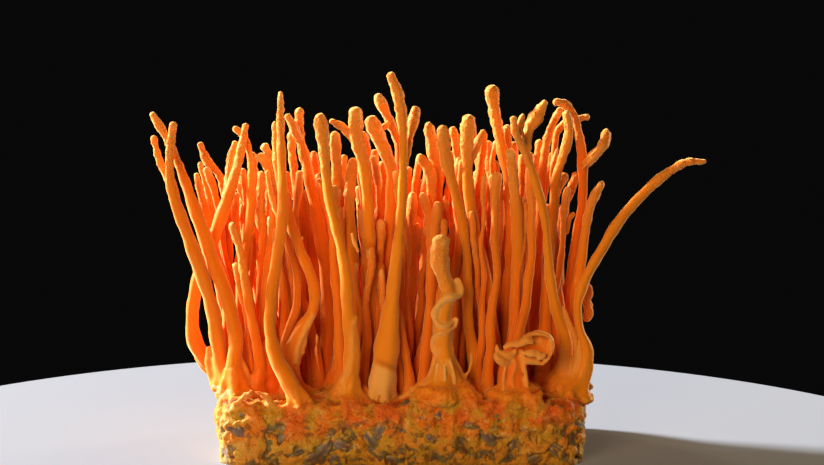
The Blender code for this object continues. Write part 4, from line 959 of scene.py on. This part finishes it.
# Kernels: heights, least distance, lengths, width and thickness as shares of the length, and
# how far their middles are sunk in
KERNEL_HEIGHTS = (1.0, 14.0)
KERNEL_GAP = 3.9
KERNEL_LENGTHS = (4.8, 7.2)
KERNEL_WIDTH = 0.62
KERNEL_THICKNESS = 0.48
KERNEL_SINKS = (1.3, 1.9)
# How much higher the skin lies where it covers them
WEB_RISE = 0.8

# How much wider a foot is at the block's top, as a share of the stem's radius, and how far up
# the stem it reaches; feet left of LEFT_GROUP take "left", and the rest "other"
LEFT_GROUP = -28.0
SKIRTS = {
    "other": (0.75, 6.0), "left": (1.0, 12.0), "outlying_stem": (0.9, 15.0), "right_stem_03": (0.8, 13.0),
    "right_stem_10": (0.8, 12.0), "tallest_stem": (-0.1, 2.4), "coiled_stem": (1.2, 9.0),
    "curled_stem": (1.0, 5.0), "spear_stem": (0.55, 6.0), "broad_stem": (0.7, 7.0),
}


def skirt(form, wide, climb, deep):
    """A widening of a stem's foot, from this deep in the block until it thins out up the stem."""
    over = np.arange(-deep, climb + 0.1, SKIRT_STEP)
    above = form.along - ROOT_DEPTH
    centres = straight_through(above, form.centre, over)
    radii = np.interp(over, above, form.radius)
    radii = radii * (1 + wide * np.exp(-np.maximum(over, 0) / (climb * 0.3)))
    radii = radii + 0.2 - 0.6 * np.clip(over / climb, 0, 1) ** 2
    return Form(centres, radii, 1.0)


def rough_block(bm, forms, runs):
    """The solid, its feet's skirts and the webs between them made one, and their looks."""
    block = bpy.data.meshes.new("block")
    bm.to_mesh(block)
    bm.free()
    solid = np.array([v.co for v in block.vertices]) / MM
    heap = Heap()
    heap.add(solid, [tuple(p.vertices) for p in block.polygons], np.zeros((len(solid), 4)))
    for number, (centres, radii) in enumerate(runs):
        foot = Form(centres[:3], radii[:3] * (1.9, 1.7, 0.8), 1.0)
        points, faces = foot.surface(10, stem_swell(number, 0.0, 4, 0.2))
        # Their feet keep less of their tone, which makes them redder: painted shade
        heap.add(points, faces, foot_look(foot, 10, tone_and_shade_of(*centres[0, :2]) * 0.7, FOOT_START))
    for number, (node, form) in enumerate(forms.items()):
        if node.endswith(FORK_ENDS):
            continue
        wide, climb = SKIRTS.get(node, SKIRTS["left" if form.centre[0, 0] < LEFT_GROUP else "other"])
        deep, start = SMOOTH_FOOT if node in SMOOTH_FEET else (FOOT_DEPTH, FOOT_START)
        foot = skirt(form, wide, climb, deep)
        points, faces = foot.surface(SKIRT_SIDES, stem_swell(number * 1.3, 0.0, 5, 0.3))
        front = SKIRT_FRONT - np.maximum(points[:, 2] - SKIRT_EDGE, 0) * SKIRT_LEAN
        points[:, 1] = np.maximum(points[:, 1], front)
        heap.add(points, faces, foot_look(foot, SKIRT_SIDES, tone_and_shade_of(*form.centre[0, :2]), start))
    for number, (run, depth, deep, pale, tone, flesh) in enumerate(FOOT_WEBS):
        web = form_in_view(run, depth, None)
        points, faces = web.surface(18, stem_swell(number * 2.1, 0.0, 3, 0.25), deep)
        heap.add(points, faces, np.tile([flesh, tone, pale, 0.0], (len(points), 1)))
    return heap.fused(VOXEL, FUSE_ROUNDS, FOOT_REACH)


def foot_look(form, sides, tone, start):
    """Flesh, tone and pale shares of a foot: more flesh the higher up, from the start's height."""
    flesh = ease(start, start + FOOT_TURN, form.along)
    shade = 1.0 if form.centre[0, 1] < FRONT_ROW else FOOT_SHADE
    return round_the_rings([flesh, np.full(len(flesh), tone * shade), 0.06 * flesh, flesh * 0], sides)


def bed_kernels(points, normals):
    """Where kernels lie in the block's sides: middle, axes, length and tone of each."""
    beds, middles = [], np.empty((0, 3))
    lowest, highest = KERNEL_HEIGHTS
    for k in rng.permutation(len(points)):
        spot, out = points[k], normals[k]
        if not -0.5 <= out[2] <= 0.8 or not lowest < spot[2] < highest:
            continue
        spacing = KERNEL_GAP * rng.uniform(0.9, 1.25)
        if len(middles) and np.linalg.norm(middles - spot, axis=1).min() < spacing:
            continue
        middles = np.vstack([middles, spot])
        side = rng.normal(size=3) * (1, 1, 0.7)
        side -= out * side.dot(out)
        side /= np.linalg.norm(side)
        axes = np.array([side, np.cross(out, side), out])
        beds.append((spot, axes, rng.uniform(*KERNEL_LENGTHS), rng.uniform(0, 1)))
    return beds


def kernel_form():
    """A plump kernel 1 long and its crease, as vertices, faces and crease shares."""
    bm = bmesh.new()
    bmesh.ops.create_uvsphere(bm, u_segments=14, v_segments=9, radius=0.5)
    bm.verts.index_update()
    points = np.array([v.co for v in bm.verts])
    faces = [tuple(v.index for v in f.verts) for f in bm.faces]
    bm.free()
    points = points[:, [2, 0, 1]]
    taper = 1 - 0.35 * (points[:, 0] + 0.5) ** 2
    points[:, 1] *= KERNEL_WIDTH * taper
    points[:, 2] *= KERNEL_THICKNESS * taper
    crease = np.exp(-(points[:, 1] / 0.05) ** 2) * (points[:, 2] > 0)
    points[:, 2] -= 0.06 * crease
    return points, faces, crease


def build_block(skin, grain, bm, forms, runs):
    """The block: kernels bedded in its sides, under a web of skin that parts over some of them."""
    points, normals, faces, feet = rough_block(bm, forms, runs)
    bare = np.clip(1 - 1.4 * feet[:, 0], 0, 1)
    beds = bed_kernels(points[bare > 0.8], normals[bare > 0.8])
    # How far off the nearest kernel is, as a share of its half width
    nearest = np.full(len(points), 9.0)
    for spot, axes, length, tone in beds:
        near = np.flatnonzero(np.abs(points - spot).max(axis=1) < length)
        local = (points[near] - spot) @ axes.T
        reach = np.hypot(local[:, 0] / (length * 0.5), local[:, 1] / (length * 0.5 * KERNEL_WIDTH))
        nearest[near] = np.minimum(nearest[near], reach)
    height = points[:, 2]
    low = ease(0.2, 2.0, height)
    cover = ease(6.5, 12.5, height + 6.0 * noise_at(points, 7.0, 6))
    patchy = ease(-0.04, 0.24, noise_at(points, 4.0, 7))
    cover = np.maximum(cover, patchy * (0.7 + 0.3 * ease(3, 8, height)))
    edge = nearest + 0.5 * noise_at(points, 1.5, 8) + 0.3 * noise_at(points, 0.7, 9)
    web = np.clip(ease(0.7, 1.3, edge) + cover, 0, 1)
    folds = 0.8 - 2.2 * np.abs(noise_at(points * np.array([1, 1, 0.55]), 3.6, 3))
    folds = np.maximum(folds, -0.3) * (0.35 + 0.65 * ease(7.0, 13.0, height))
    creases = 0.35 - 1.3 * np.abs(noise_at(points, 2.0, 12))
    lumps = 0.45 * noise_at(points, 4.0, 1) + 0.3 * noise_at(points, 1.6, 2)
    lumps = lumps + 0.22 * noise_at(points, 0.8, 4)
    rise = web * WEB_RISE - 0.9 + lumps + folds + creases * 0.6
    points = points + normals * (rise * low * bare)[:, None]
    points[points[:, 2] < 0.25, 2] = 0.0
    # Rim: a painted highlight in cream on the folds' ridges and the web's edges
    rim = np.clip(0.6 * ease(0.5, 0.9, folds) + 0.35 * (web > 0.3) * (web < 0.75), 0, 1) * low
    # Painted shade in dark red on the upward faces of the block's top between the feet
    painted_hollow_shade = ease(0.5, 0.85, normals[:, 2]) * ease(0.7, 0.0, folds) * ease(12, 15, height) * bare
    look = np.column_stack([web, rim * (1 - painted_hollow_shade), painted_hollow_shade, np.clip(1.2 * feet[:, 0], 0, 1)])
    piece = add_piece("block_skin", points, faces, skin, ("substrate_block",), look)
    add_shares(piece.data, "foot", feet[:, [1, 2, 3, 3]])

    shape, kernel_faces, crease = kernel_form()
    heap = Heap()
    for spot, axes, length, tone in beds:
        sink = rng.uniform(*KERNEL_SINKS)
        local = shape * length
        body = spot - axes[2] * sink + local @ axes
        body = body + rng.normal(0, 0.02, body.shape)
        body[:, 2] = np.maximum(body[:, 2], 0.0)
        look = np.column_stack([np.full(len(shape), tone), crease, crease * 0, crease * 0])
        heap.add(body, kernel_faces, look)
    heap.piece("grain_kernels", grain, "grain_substrate")


# Camera, lights and floor

FLOOR_MIDDLE = (-5.0, -55.6)
FLOOR_RADIUS = 165.0
FLOOR_DEPTH = 4.0
FLOOR_SIDES = 180
FLOOR_ROUGHNESS = 0.6
# Each light's name, place, aim, width, power in watts and colour
LIGHTS = (
    ("key", (-2055, 750, 1080), (0, 0, 55), 330, 250.0, (0.97, 0.97, 1.0)),
    ("rim", (500, 330, 160), (0, 0, 55), 150, 2.6, (1.0, 0.84, 0.62)),
    ("edge", (-620, 560, 330), (0, 0, 60), 90, 1.8, (1.0, 0.86, 0.50)),
    ("fill", (-220, -520, 240), (0, 0, 45), 300, 2.3, (1.0, 0.67, 0.38)),
)


def add_camera():
    """The camera at the photograph's viewing angle."""
    data = bpy.data.cameras.new("camera")
    data.lens = LENS
    data.sensor_width = SENSOR
    data.clip_start = 0.01
    camera = add_object("camera", data)
    camera.location = Vector(EYE) * MM
    camera.rotation_euler = (math.pi / 2 - VIEW_RISE, 0.0, 0.0)
    bpy.context.scene.camera = camera


def add_light(name, spot, aim, size, power, color):
    """A soft square light at this spot, aimed at a point, both in mm."""
    data = bpy.data.lights.new(name, "AREA")
    data.shape = "SQUARE"
    data.size = size * MM
    data.energy = power
    data.color = color
    light = add_object(name, data)
    light.location = Vector(spot) * MM
    light.rotation_euler = (Vector(aim) - Vector(spot)).to_track_quat("-Z", "Y").to_euler()


def add_stage():
    """A plain pale floor and soft studio light on a plain dark ground."""
    bm = bmesh.new()
    middle = Vector((*FLOOR_MIDDLE, -FLOOR_DEPTH / 2)) * MM
    bmesh.ops.create_cone(
        bm, cap_ends=True, segments=FLOOR_SIDES, radius1=FLOOR_RADIUS * MM,
        radius2=FLOOR_RADIUS * MM, depth=FLOOR_DEPTH * MM, matrix=Matrix.Translation(middle),
    )
    mesh = bpy.data.meshes.new("floor")
    bm.to_mesh(mesh)
    bm.free()
    material, shader = new_material("floor")
    feed(shader, {"Base Color": (*FLOOR_WHITE, 1.0), "Roughness": FLOOR_ROUGHNESS})
    mesh.materials.append(material)
    floor = add_object("floor", mesh)
    world = bpy.data.worlds.new("studio")
    world.use_nodes = True
    feed(world.node_tree.nodes["Background"], {"Color": (*GROUND_BLACK, 1.0)})
    bpy.context.scene.world = world
    for light in LIGHTS:
        add_light(*light)
    bpy.context.scene.view_settings.view_transform = "Standard"


def main():
    """Builds the stage and then the bunch, from its stems to its block."""
    add_camera()
    add_stage()
    flesh_group = make_flesh_group()
    flesh = make_flesh(flesh_group)
    forms = build_stems(flesh)
    build_side_bits(flesh)
    block, runs = split_block()
    build_crowd(flesh, runs, forms)
    build_block(make_skin(flesh_group), make_grain(), block, forms, runs)


main()
